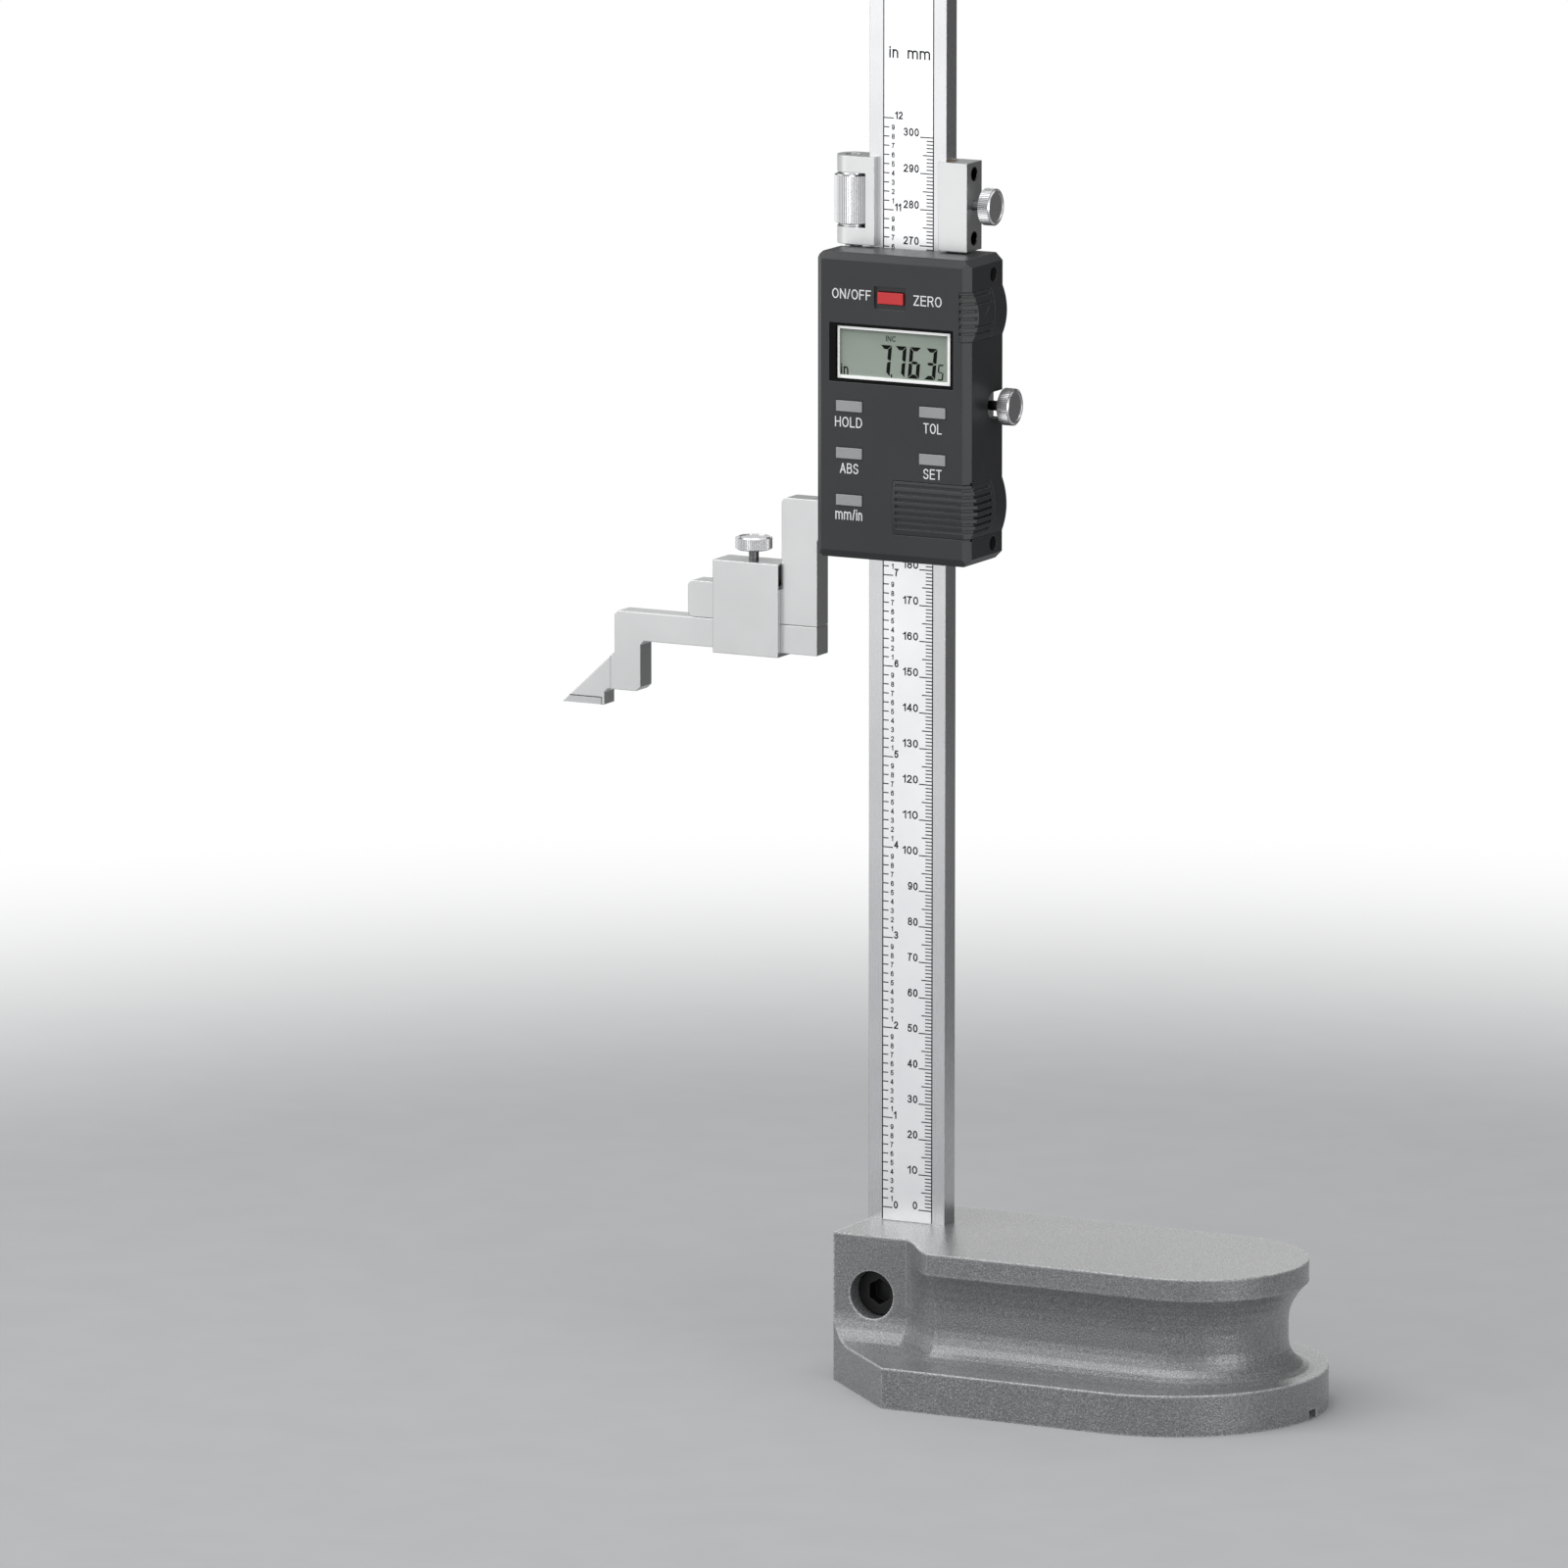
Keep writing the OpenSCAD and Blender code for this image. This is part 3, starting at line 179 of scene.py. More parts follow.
# Each finish: a colour and a second one that drifts through it, the roughness and how far the grain varies
# it, the grain in 1/m, its relief in mm, and the radius of the edges in mm. Some have flecks and dark specks
# with a scale in 1/m, edges turned to another colour and how strongly (partly real rubbing, partly a painted
# highlight), a specular level, a coat, or a glow, which is painted light
finishes = {
    "base_iron": {"colour": rgb(103, 104, 105), "drift": rgb(97, 98, 100), "rough": 0.27, "vary": 0.12,
                  "metal": 0.0, "grain": 2100, "relief": 0.13, "edge": 1.1,
                  "flecks": rgb(154, 155, 156), "specks": rgb(68, 69, 71), "fleckScale": 2850,
                  "edgeWearAndHighlight": rgb(236, 237, 238), "wearAndHighlight": 4.5, "specular": 1.0, "coat": 0.3, "coatRough": 0.33},
    "black_steel": {"colour": rgb(30, 30, 31), "drift": rgb(24, 24, 25), "rough": 0.38, "vary": 0.2,
                    "metal": 0.5, "grain": 700, "relief": 0.01, "edge": 0.3,
                    "edgeWearAndHighlight": rgb(120, 120, 120), "wearAndHighlight": 1.2},
    "ground_steel": {"colour": rgb(214, 215, 217), "drift": rgb(207, 208, 210), "rough": 0.27, "vary": 0.08,
                     "metal": 1.0, "grain": (5200, 5200, 60), "relief": 0.003, "edge": 0.25},
    "scale_face": {"colour": rgb(250, 251, 252), "drift": rgb(244, 245, 247), "rough": 0.33, "vary": 0.08,
                   "metal": 0.85, "grain": (3500, 3500, 90), "relief": 0.003, "edge": 0.05},
    "screw_steel": {"colour": rgb(190, 190, 192), "drift": rgb(170, 170, 172), "rough": 0.28, "vary": 0.15,
                    "metal": 1.0, "grain": 900, "relief": 0.01, "edge": 0.15},
    "satin_steel": {"colour": rgb(210, 211, 211), "drift": rgb(204, 205, 205), "rough": 0.32, "vary": 0.1,
                    "metal": 1.0, "grain": 2600, "relief": 0.006, "edge": 0.3,
                    "edgeWearAndHighlight": rgb(238, 238, 238), "wearAndHighlight": 0.8},
    "chrome": {"colour": rgb(230, 230, 232), "drift": rgb(222, 222, 224), "rough": 0.16, "vary": 0.06,
               "metal": 1.0, "grain": 1500, "relief": 0.003, "edge": 0.05},
    "brass": {"colour": rgb(205, 172, 106), "drift": rgb(182, 148, 84), "rough": 0.32, "vary": 0.15,
              "metal": 1.0, "grain": (1800, 1800, 200), "relief": 0.006, "edge": 0.15},
    "board": {"colour": rgb(22, 92, 50), "drift": rgb(16, 72, 40), "rough": 0.32, "vary": 0.1,
              "metal": 0.0, "grain": 1200, "relief": 0.01, "edge": 0.1},
    "housing": {"colour": rgb(42, 43, 45), "drift": rgb(38, 39, 41), "rough": 0.4, "vary": 0.08,
                "metal": 0.0, "grain": 4200, "relief": 0.012, "edge": 0.32,
                "edgeWearAndHighlight": rgb(128, 129, 130), "wearAndHighlight": 1.3, "specular": 0.42},
    "rubber": {"colour": rgb(176, 177, 178), "drift": rgb(160, 161, 163), "rough": 0.6, "vary": 0.1,
               "metal": 0.0, "grain": 1500, "relief": 0.01, "edge": 0.2},
    # The white plastic's glow is painted light, which keeps it bright where it sits recessed behind the
    # window
    "white_plastic": {"colour": rgb(253, 253, 253), "drift": rgb(244, 244, 244), "rough": 0.35, "vary": 0.05,
                      "metal": 0.0, "grain": 1500, "relief": 0.004, "edge": 0.1, "glow": 0.35},
    "red_key": {"colour": rgb(205, 40, 44), "drift": rgb(195, 33, 38), "rough": 0.3, "vary": 0.06,
                "metal": 0.0, "grain": 2400, "relief": 0.006, "edge": 0.3,
                "edgeWearAndHighlight": rgb(236, 120, 124), "wearAndHighlight": 0.9},
    "grey_key": {"colour": rgb(158, 159, 161), "drift": rgb(151, 152, 154), "rough": 0.38, "vary": 0.06,
                 "metal": 0.0, "grain": 2400, "relief": 0.006, "edge": 0.3,
                 "edgeWearAndHighlight": rgb(196, 196, 197), "wearAndHighlight": 0.9},
    "cell_steel": {"colour": rgb(215, 215, 216), "drift": rgb(205, 205, 206), "rough": 0.22, "vary": 0.1,
                   "metal": 1.0, "grain": 1500, "relief": 0.004, "edge": 0.3},
    "black_plastic": {"colour": rgb(30, 30, 31), "drift": rgb(26, 26, 27), "rough": 0.45, "vary": 0.1,
                      "metal": 0.0, "grain": 2000, "relief": 0.01, "edge": 0.2},
    "carbide": {"colour": rgb(204, 205, 207), "drift": rgb(194, 195, 197), "rough": 0.26, "vary": 0.1,
                "metal": 1.0, "grain": (400, 4000, 4000), "relief": 0.004, "edge": 0.08},
    "ink": {"colour": rgb(20, 20, 22), "drift": rgb(26, 26, 28), "rough": 0.6, "vary": 0.1,
            "metal": 0.0, "grain": 5000, "relief": 0.001, "edge": 0.0, "specular": 0.2},
    "seam": {"colour": rgb(72, 73, 75), "drift": rgb(64, 65, 67), "rough": 0.6, "vary": 0.1,
             "metal": 0.0, "grain": 5000, "relief": 0.001, "edge": 0.0, "specular": 0.2},
    "legend": {"colour": rgb(240, 240, 241), "drift": rgb(232, 232, 234), "rough": 0.55, "vary": 0.1,
               "metal": 0.0, "grain": 5000, "relief": 0.001, "edge": 0.0, "specular": 0.2},
    "segments": {"colour": rgb(4, 5, 4), "drift": rgb(8, 9, 8), "rough": 0.5, "vary": 0.05,
                 "metal": 0.0, "grain": 3000, "relief": 0.001, "edge": 0.0, "specular": 0.1},
    "faint": {"colour": rgb(50, 54, 50), "drift": rgb(46, 50, 46), "rough": 0.5, "vary": 0.05,
              "metal": 0.0, "grain": 3000, "relief": 0.001, "edge": 0.0, "specular": 0.1},
    "floor": {"colour": rgb(176, 177, 179), "drift": rgb(174, 175, 177), "rough": 0.45, "vary": 0.1,
              "metal": 0.0, "grain": 60, "relief": 0.005, "edge": 0.0, "specular": 0.0},
}


def newMaterial(name):
    material = bpy.data.materials.new(name)
    material.use_nodes = True
    return material, Tree(material.node_tree), material.node_tree.nodes["Principled BSDF"]


# What the finishes share: each pair holds the noise values between which a mask rises
pattern = {
    "driftScale": 45, "drift": (0.3, 0.7), "detail": 3.0,  # scale in 1/m
    "flecks": (0.42, 0.72), "specks": (0.45, 0.72),
    "speckShare": 0.75, "speckScale": 0.83,  # how strong the specks are, and their scale against the flecks'
    "coat": (0.35, 0.75), "coatShare": 0.35,  # how much more coat the flecks have
    "edgeWearAndHighlight": (0.3, 0.6), "bevelSamples": 6,
}
# The knurled heads, in mm, and the number of the axis that each one turns on; their grooves and the thumb
# screws' shanks get painted shade
knurls = {
    "axes": {"fine_feed_nut": 2, "scriber_clamp_screw": 2,
             "slider_clamp_screw": 0, "carriage_clamp_screw": 0},
    "depth": 0.2, "head": 3.75,  # how deep the grooves are, and how long a thumb screw's head is
    "start": (-0.1, -0.05), "end": (0.02, 0.15),  # where the grooves' shade starts and ends, from their root
    # The colours of the painted shade in the grooves and on the shanks
    "rough": 0.24, "groove": rgb(172, 172, 174), "shankShade": rgb(104, 104, 106),
}
# The carriage's bore walls get painted shade: how far the shade reaches past them and fades, in mm
boreShade = {"past": 0.3, "fade": 0.05, "shade": rgb(26, 26, 27)}


# Distance in mm from the line through centre that runs along an axis
def awayFrom(tree, axis, centre):
    spot = tree.parts(tree.place())
    a, b = [spot[i] - centre[i] for i in range(3) if i != axis]
    return tree.calc("SQRT", a * a + b * b) * (1 / mm)


# How far a point lies in the grooves of a knurl, by its distance from the knob's axis: where the painted
# groove shade goes
def inGrooves(tree, axis, centre, radius):
    fromRoot = awayFrom(tree, axis, centre) - (radius - knurls["depth"])
    return tree.ramp(fromRoot, *knurls["start"]) * (1.0 - tree.ramp(fromRoot, *knurls["end"]))


# Roughness round its middle value, varied by the grain
def gloss(spec, grain):
    return grain * spec["vary"] + (spec["rough"] - spec["vary"] / 2)


def makeFinish(name, spec):
    material, tree, shader = newMaterial(name)
    cloud = tree.noise(pattern["driftScale"], pattern["detail"])
    grain = tree.noise(spec["grain"], pattern["detail"])
    colour = tree.mix(tree.ramp(cloud, *pattern["drift"]), spec["colour"], spec["drift"])
    if "flecks" in spec:
        light = tree.noise(spec["fleckScale"])
        dark = tree.noise(spec["fleckScale"] * pattern["speckScale"])
        specks = tree.ramp(dark, *pattern["specks"]) * pattern["speckShare"]
        colour = tree.mix(tree.ramp(light, *pattern["flecks"]), colour, spec["flecks"])
        colour = tree.mix(specks, colour, spec["specks"])
        coat = tree.ramp(light, *pattern["coat"]) * pattern["coatShare"] + spec["coat"]
        tree.plug(shader.inputs["Coat Weight"], coat)
        shader.inputs["Coat Roughness"].default_value = spec["coatRough"]
    # Painted shade in one place: a knurl's grooves, a screw's shank, the wall of a bore
    if "groove" in spec:
        colour = tree.mix(inGrooves(tree, *spec["groove"]), colour, knurls["groove"])
    if "shankShade" in spec:
        axis, end = spec["shankShade"]
        colour = tree.mix(tree.parts(tree.place())[axis] < end, colour, knurls["shankShade"])
    for centre in spec.get("boreShade", []):
        wall = 1.0 - tree.ramp(awayFrom(tree, 0, centre), spec["bore"], spec["bore"] + boreShade["fade"])
        colour = tree.mix(wall, colour, boreShade["shade"])
    bump = {"Strength": 1.0, "Distance": spec["relief"] * mm, "Height": grain}
    if spec["edge"]:
        bump["Normal"] = tree.add("ShaderNodeBevel", {"samples": pattern["bevelSamples"]},
                                  {"Radius": spec["edge"] * mm})
        # Edges turned lighter: partly real rubbing, partly a painted highlight
        if "edgeWearAndHighlight" in spec:
            flat = tree.add("ShaderNodeNewGeometry", out="Normal")
            turned = 1.0 - tree.vector("DOT_PRODUCT", bump["Normal"], flat, "Value")
            onEdge = tree.calc("MINIMUM", turned * spec["wearAndHighlight"], 1.0)
            colour = tree.mix(onEdge * tree.ramp(grain, *pattern["edgeWearAndHighlight"]), colour, spec["edgeWearAndHighlight"])
    tree.plug(shader.inputs["Base Color"], colour)
    tree.plug(shader.inputs["Roughness"], gloss(spec, grain))
    tree.plug(shader.inputs["Normal"], tree.add("ShaderNodeBump", None, bump))
    shader.inputs["Metallic"].default_value = spec["metal"]
    shader.inputs["Specular IOR Level"].default_value = spec.get("specular", 0.5)
    # A glow is painted light from a part that is no lamp
    if "glow" in spec:
        tree.plug(shader.inputs["Emission Color"], colour)
        shader.inputs["Emission Strength"].default_value = spec["glow"]
    return material


# The liquid crystal, in mm: the middle and size of its face, the rim round it, and its grain in 1/m
crystal = {
    "x": 2.0, "z": 286.65, "w": 33.3, "h": 12.8, "front": -15.3, "rim": 0.9,
    "shadeLeft": (-0.3, 1.2), "shadeTop": (-0.2, 1.3),  # where the shade of the window's edge starts and ends
    "face": rgb(167, 178, 167), "drift": rgb(162, 173, 162), "shaded": rgb(118, 126, 118),
    "driftScale": 60, "grain": 2500, "rough": 0.35, "vary": 0.1, "specular": 0.1,
}
# The window before it, black but for the clear part over the crystal and its rim
window = {
    "shift": 0.5, "past": 0.02,  # how far in mm the clear part stands to the right, and reaches past the rim
    "clear": 0.97, "border": rgb(12, 12, 13), "glass": rgb(30, 31, 31),
    "grain": 1800, "rough": 0.13, "vary": 0.06, "specular": 0.08,
}


# Where a point of the surface is, as x, y and z in mm
def spotInMm(tree):
    return tree.parts(tree.vector("MULTIPLY", tree.place(), (1 / mm,) * 3))


def makeWindow():
    material, tree, shader = newMaterial("window")
    x, _, z = spotInMm(tree)
    reach = crystal["rim"] + window["past"]
    inWidth = abs(x - crystal["x"] - window["shift"]) < crystal["w"] / 2 + reach
    inHeight = abs(z - crystal["z"]) < crystal["h"] / 2 + reach
    clear = inWidth * inHeight
    tree.plug(shader.inputs["Base Color"], tree.mix(clear, window["border"], window["glass"]))
    tree.plug(shader.inputs["Alpha"], 1.0 - clear * window["clear"])
    tree.plug(shader.inputs["Roughness"], gloss(window, tree.noise(window["grain"])))
    shader.inputs["Specular IOR Level"].default_value = window["specular"]
    return material


def makeCrystal():
    material, tree, shader = newMaterial("lcd")
    x, _, z = spotInMm(tree)
    left, top = crystal["x"] - crystal["w"] / 2, crystal["z"] + crystal["h"] / 2
    lit = tree.ramp(x - left, *crystal["shadeLeft"]) * tree.ramp(top - z, *crystal["shadeTop"])
    cloud = tree.ramp(tree.noise(crystal["driftScale"]), *pattern["drift"])
    face = tree.mix(cloud, crystal["face"], crystal["drift"])
    tree.plug(shader.inputs["Base Color"], tree.mix(lit, crystal["shaded"], face))
    tree.plug(shader.inputs["Roughness"], gloss(crystal, tree.noise(crystal["grain"])))
    shader.inputs["Specular IOR Level"].default_value = crystal["specular"]
    return material


materials = {name: makeFinish(name, spec) for name, spec in finishes.items()}
materials["window"] = makeWindow()
materials["lcd"] = makeCrystal()

for entry in frame["record"]["subparts"]:
    target = nodes[entry["node"]]
    target.data.materials.clear()
    target.data.materials.append(materials[entry["material_slot"]])


# Chrome copies with painted shade in the knurls' grooves and on the thumb screws' shanks
def dressKnurls():
    for name, axis in knurls["axes"].items():
        low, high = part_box(name)
        across = 1 if axis == 2 else 2
        radius = (high[across] - low[across]) / 2 / mm
        spec = {**finishes["chrome"], "rough": knurls["rough"], "groove": (axis, (low + high) / 2, radius)}
        if name != "fine_feed_nut":
            spec["shankShade"] = (axis, high[axis] - knurls["head"] * mm)
        nodes[name].data.materials[0] = makeFinish("chrome_painted_shade_" + name, spec)


# The painted shade of the bore walls stands where the carriage's gib screws are
def dressBores():
    low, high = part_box("carriage_gib_screws")
    radius = (high.y - low.y) / 2
    centres = [Vector((0, (low.y + high.y) / 2, z)) for z in (low.z + radius, high.z - radius)]
    spec = {**finishes["satin_steel"], "boreShade": centres, "bore": radius / mm + boreShade["past"]}
    nodes["carriage"].data.materials[0] = makeFinish("satin_steel_carriage_bore_shade", spec)


dressKnurls()
dressBores()
print("stage: finishes on every node")


def addPiece(name, mesh, body, material):
    made = addObject(name, mesh)
    mesh.materials.clear()
    mesh.materials.append(materials[material])
    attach(made, body)
    return made


def fromLists(name, corners, faces):
    mesh = bpy.data.meshes.new(name)
    mesh.from_pydata([tuple(c) for c in corners], [], faces)
    mesh.update()
    return mesh


# A node tree for geometry, with a named input for each size
def geometryTree(name, inputs):
    made = bpy.data.node_groups.new(name, "GeometryNodeTree")
    made.interface.new_socket(name="Made", in_out="OUTPUT", socket_type="NodeSocketGeometry")
    for label, kind in inputs.items():
        made.interface.new_socket(name=label, in_out="INPUT", socket_type="NodeSocket" + kind)
    tree = Tree(made)
    return tree, {wire.socket.name: wire for wire in tree.addAll("NodeGroupInput") if wire.socket.name}


def endTree(tree, geometry, material):
    solid = tree.add("GeometryNodeRealizeInstances", None, {"Geometry": geometry})
    dressed = tree.add("GeometryNodeSetMaterial", None, {"Geometry": solid, "Material": material})
    tree.add("NodeGroupOutput", None, {0: dressed})
    return tree.nodeTree


def runTree(group, name, values):
    carrier = addObject(name, bpy.data.meshes.new(name))
    modifier = carrier.modifiers.new("nodes", "NODES")
    modifier.node_group = group
    for socket in group.interface.items_tree:
        if socket.in_out == "INPUT":
            modifier[socket.identifier] = values[socket.name]
    bpy.context.view_layer.update()
    solid = carrier.evaluated_get(bpy.context.evaluated_depsgraph_get())
    mesh = bpy.data.meshes.new_from_object(solid)
    bpy.data.objects.remove(carrier)
    mesh.name = name
    return mesh


# Letters are drawn with a pen of even width
lettering = {
    "gap": 0.15,  # between letters, as a share of their height
    "bendStep": 18, "bendLeast": 3,  # degrees between a bend's points, and the fewest steps that it has
    "sharp": 0.5,  # how sharp a corner may be before its point is cut
    "same": 1e-4,  # mm under which two points are one
    "apart": 0.0015, "layers": 5,  # mm between strokes that cross, so that no two faces share a place
}


def bend(cx, cy, rx, ry, start, end):
    count = max(lettering["bendLeast"], round(abs(end - start) / lettering["bendStep"]))
    turns = [math.radians(start + (end - start) * i / count) for i in range(count + 1)]
    return [(cx + rx * math.cos(a), cy + ry * math.sin(a)) for a in turns]


stem, head, foot = [(0, 0), (0, 1)], [(0, 1), (1, 1)], [(0, 0), (1, 0)]
six = [bend(0.5, 0.32, 0.48, 0.32, 90, 450), bend(0.52, 0.5, 0.5, 0.5, 45, 200)]
# Each letter's width as a share of its height, and its strokes in a cell of 1 by 1
glyphs = {
    "0": (0.52, [bend(0.5, 0.5, 0.5, 0.5, 90, 450)]),
    "1": (0.24, [[(1, 0), (1, 1)], [(1, 0.96), (0, 0.76)]]),
    "2": (0.52, [bend(0.5, 0.71, 0.47, 0.29, 165, -35) + [(0.02, 0.03)], foot]),
    "3": (0.52, [bend(0.47, 0.76, 0.43, 0.24, 155, -90), bend(0.47, 0.27, 0.5, 0.27, 90, -155)]),
    "4": (0.54, [[(0.74, 0), (0.74, 1)], [(0.7, 0.97), (0, 0.27)], [(0, 0.27), (1, 0.27)]]),
    "5": (0.52, [[(0.92, 1), (0.2, 1)], [(0.2, 1), (0.08, 0.5)], bend(0.47, 0.33, 0.5, 0.33, 140, -155)]),
    "6": (0.52, six),
    "7": (0.5, [head, bend(1.6, -0.1, 1.3, 1.5, 133, 176)]),
    "8": (0.52, [bend(0.5, 0.76, 0.43, 0.24, 90, 450), bend(0.5, 0.27, 0.5, 0.27, 90, 450)]),
    "9": (0.52, [[(1 - x, 1 - y) for x, y in stroke] for stroke in six]),
    "A": (0.66, [[(0, 0), (0.5, 1)], [(0.5, 1), (1, 0)], [(0.17, 0.32), (0.83, 0.32)]]),
    "B": (0.58, [stem, [(0, 1), (0.52, 1)] + bend(0.52, 0.77, 0.4, 0.23, 90, -90) + [(0, 0.54)],
                 [(0.5, 0.54)] + bend(0.55, 0.27, 0.45, 0.27, 90, -90) + [(0, 0)]]),
    "C": (0.62, [bend(0.52, 0.5, 0.52, 0.5, 48, 312)]),
    "D": (0.6, [stem, [(0, 1), (0.4, 1)] + bend(0.4, 0.5, 0.6, 0.5, 90, -90) + [(0, 0)]]),
    "E": (0.54, [stem, head, foot, [(0, 0.53), (0.92, 0.53)]]),
    "F": (0.5, [stem, head, [(0, 0.5), (0.86, 0.5)]]),
    "H": (0.58, [stem, [(1, 0), (1, 1)], [(0, 0.53), (1, 0.53)]]),
    "I": (0, [[(0.5, 0), (0.5, 1)]]),
    "L": (0.46, [stem, foot]),
    "N": (0.58, [stem, [(1, 0), (1, 1)], [(0, 1), (1, 0)]]),
    "O": (0.66, [bend(0.5, 0.5, 0.5, 0.5, 90, 450)]),
    "R": (0.58, [stem, [(0, 1), (0.58, 1)] + bend(0.58, 0.755, 0.38, 0.245, 90, -90) + [(0, 0.51)],
                 [(0.58, 0.51), (1, 0)]]),
    "S": (0.57, [bend(0.5, 0.75, 0.45, 0.25, 20, 270) + bend(0.48, 0.25, 0.5, 0.25, 90, -160)]),
    "T": (0.58, [head, [(0.5, 1), (0.5, 0)]]),
    "Z": (0.56, [head, [(0.97, 0.97), (0.03, 0.03)], foot]),
    "/": (0.24, [[(0, 0), (1, 1)]]),
    "i": (0, [[(0.5, 0), (0.5, 0.72)], [(0.5, 0.96), (0.5, 1)]]),
    "n": (0.4, [[(0, 0), (0, 0.72)], bend(0.5, 0.46, 0.5, 0.26, 180, 0) + [(1, 0)]]),
    "m": (0.85, [[(0, 0), (0, 0.72)], bend(0.25, 0.5, 0.25, 0.22, 180, 0) + [(0.5, 0)],
                 bend(0.75, 0.5, 0.25, 0.22, 180, 0) + [(1, 0)]]),
}


def unit(dx, dy):
    size = math.hypot(dx, dy) or 1
    return dx / size, dy / size


# Flat print on one upright plane: at y = front, seen from -Y, or from +Y where it faces back
class Print:
    def __init__(self, front, back=False):
        self.front, self.back, self.corners, self.faces, self.drawn = front, back, [], [], 0

    def addFace(self, spots, indices):
        area = sum(a[0] * b[1] - b[0] * a[1] for a, b in zip(spots, spots[1:] + spots[:1]))
        self.faces.append(indices if (area > 0) != self.back else indices[::-1])

    def shape(self, outline):
        start = len(self.corners)
        self.corners += [point(x, self.front, z) for x, z in outline]
        self.addFace(outline, tuple(range(start, start + len(outline))))

    def stroke(self, way, pen):
        way = [p for i, p in enumerate(way) if not i or math.dist(p, way[i - 1]) > lettering["same"]]
        closed = math.dist(way[0], way[-1]) < lettering["same"]
        runs = [unit(b[0] - a[0], b[1] - a[1]) for a, b in zip(way, way[1:])]
        if not closed:
            way[0] = (way[0][0] - runs[0][0] * pen / 2, way[0][1] - runs[0][1] * pen / 2)
            way[-1] = (way[-1][0] + runs[-1][0] * pen / 2, way[-1][1] + runs[-1][1] * pen / 2)
        spots = []
        for i, (x, z) in enumerate(way):
            before = runs[i - 1] if i or closed else runs[0]
            after = runs[i] if i < len(runs) else (runs[0] if closed else runs[-1])
            along = unit(before[0] + after[0], before[1] + after[1])
            reach = pen / 2 / max(lettering["sharp"], along[0] * after[0] + along[1] * after[1])
            spots += [(x - side * along[1] * reach, z + side * along[0] * reach) for side in (-1, 1)]
        start = len(self.corners)
        lift = lettering["apart"] * (self.drawn % lettering["layers"]) * (1 if self.back else -1)
        self.drawn += 1
        self.corners += [point(x, self.front + lift, z) for x, z in spots]
        for i in range(len(runs)):
            indices = (2 * i, 2 * i + 2, 2 * i + 3, 2 * i + 1)
            self.addFace([spots[k] for k in indices], tuple(start + k for k in indices))

    def word(self, text, left, right, low, high, pen):  # with no right end, letters keep their own width
        high = high - low - pen
        widths = [glyphs[c][0] * high + pen for c in text]
        gap = lettering["gap"] * high
        squeeze = (right - left) / (sum(widths) + gap * (len(text) - 1)) if right else 1
        x = left
        for character, width in zip(text, widths):
            inner = width * squeeze - pen
            for way in glyphs[character][1]:
                self.stroke([(x + pen / 2 + u * inner, low + pen / 2 + v * high) for u, v in way], pen)
            x += (width + gap) * squeeze

    def mesh(self, name):
        return fromLists(name, self.corners, self.faces)


# Words beside the keys, in mm: left, right, low and high ends
legends = {"front": -17.02, "pen": 0.34, "words": [
    ("ON/OFF", -16.15, -4.15, 301.55, 304.35), ("ZERO", 8.9, 17.55, 301.1, 303.95),
    ("HOLD", -15.25, -6.85, 266.0, 268.85), ("TOL", 12.0, 17.6, 266.0, 268.85),
    ("ABS", -13.7, -8.0, 253.15, 256.0), ("SET", 12.0, 17.65, 253.35, 256.2),
    ("mm/in", -15.1, -6.8, 240.25, 243.3)]}


def makeLegends():
    ink = Print(legends["front"])
    for word in legends["words"]:
        ink.word(*word, legends["pen"])
    addPiece("legends", ink.mesh("legends"), "slider", "legend")


# The reading, in mm: slanted seven-segment figures, a small last one, the decimal point and two words
reading = {
    "figures": "7763", "lefts": (-2.8, 1.73, 6.25, 11.2), "low": 280.6,
    "size": (3.5, 8.7, 1.1, 0.11),  # width, height, stroke, and gap between two segments
    "small": ("5", 15.3, 280.55, 1.8, 4.5, 0.44, 0.05),  # left, low, and the same four
    "point": [(0.95, 281.3), (1.5, 281.3), (1.55, 280.4), (1.15, 280.4)],
    "unit": ("in", -14.3, -12.0, 280.3, 283.3, 0.42),  # left, right, low, high and pen
    "mode": ("INC", -0.45, 2.7, 290.35, 291.95, 0.25),
    "lean": 0.09, "lift": 0.012,  # how far they lean for each mm up, and stand before the crystal
    "notch": 1.7, "thin": 0.36,  # the notch at mid height in gaps, and half the middle segment in strokes
}
strokes = {"7": "abc", "6": "acdefg", "3": "abcdg", "5": "acdfg"}


# One segment's outline in a figure of width w and height h, with strokes of t and gaps of g
def segment(letter, w, h, t, g):
    m, notch, thin = h / 2, reading["notch"] * g, reading["thin"] * t
    outlines = {
        "a": [(g, h), (w - g, h), (w - g - t, h - t), (g + t, h - t)],
        "d": [(g + t, t), (w - g - t, t), (w - g, 0), (g, 0)],
        "f": [(0, h - g), (t, h - g - t), (t, m + notch + t / 3), (t / 2, m + notch), (0, m + notch)],
        "e": [(0, m - notch), (t / 2, m - notch), (t, m - notch - t / 3), (t, t + g), (0, g)],
        "g": [(g + t / 2, m), (g + t, m + thin), (w - g - t, m + thin), (w - g - t / 2, m),
              (w - g - t, m - thin), (g + t, m - thin)],
    }
    outlines["b"] = [(w - x, z) for x, z in outlines["f"]]
    outlines["c"] = [(w - x, z) for x, z in outlines["e"]]
    return outlines[letter]


def drawFigure(ink, text, left, low, w, h, t, gap):
    for letter in strokes[text]:
        ink.shape([(left + x + reading["lean"] * z, low + z) for x, z in segment(letter, w, h, t, gap)])


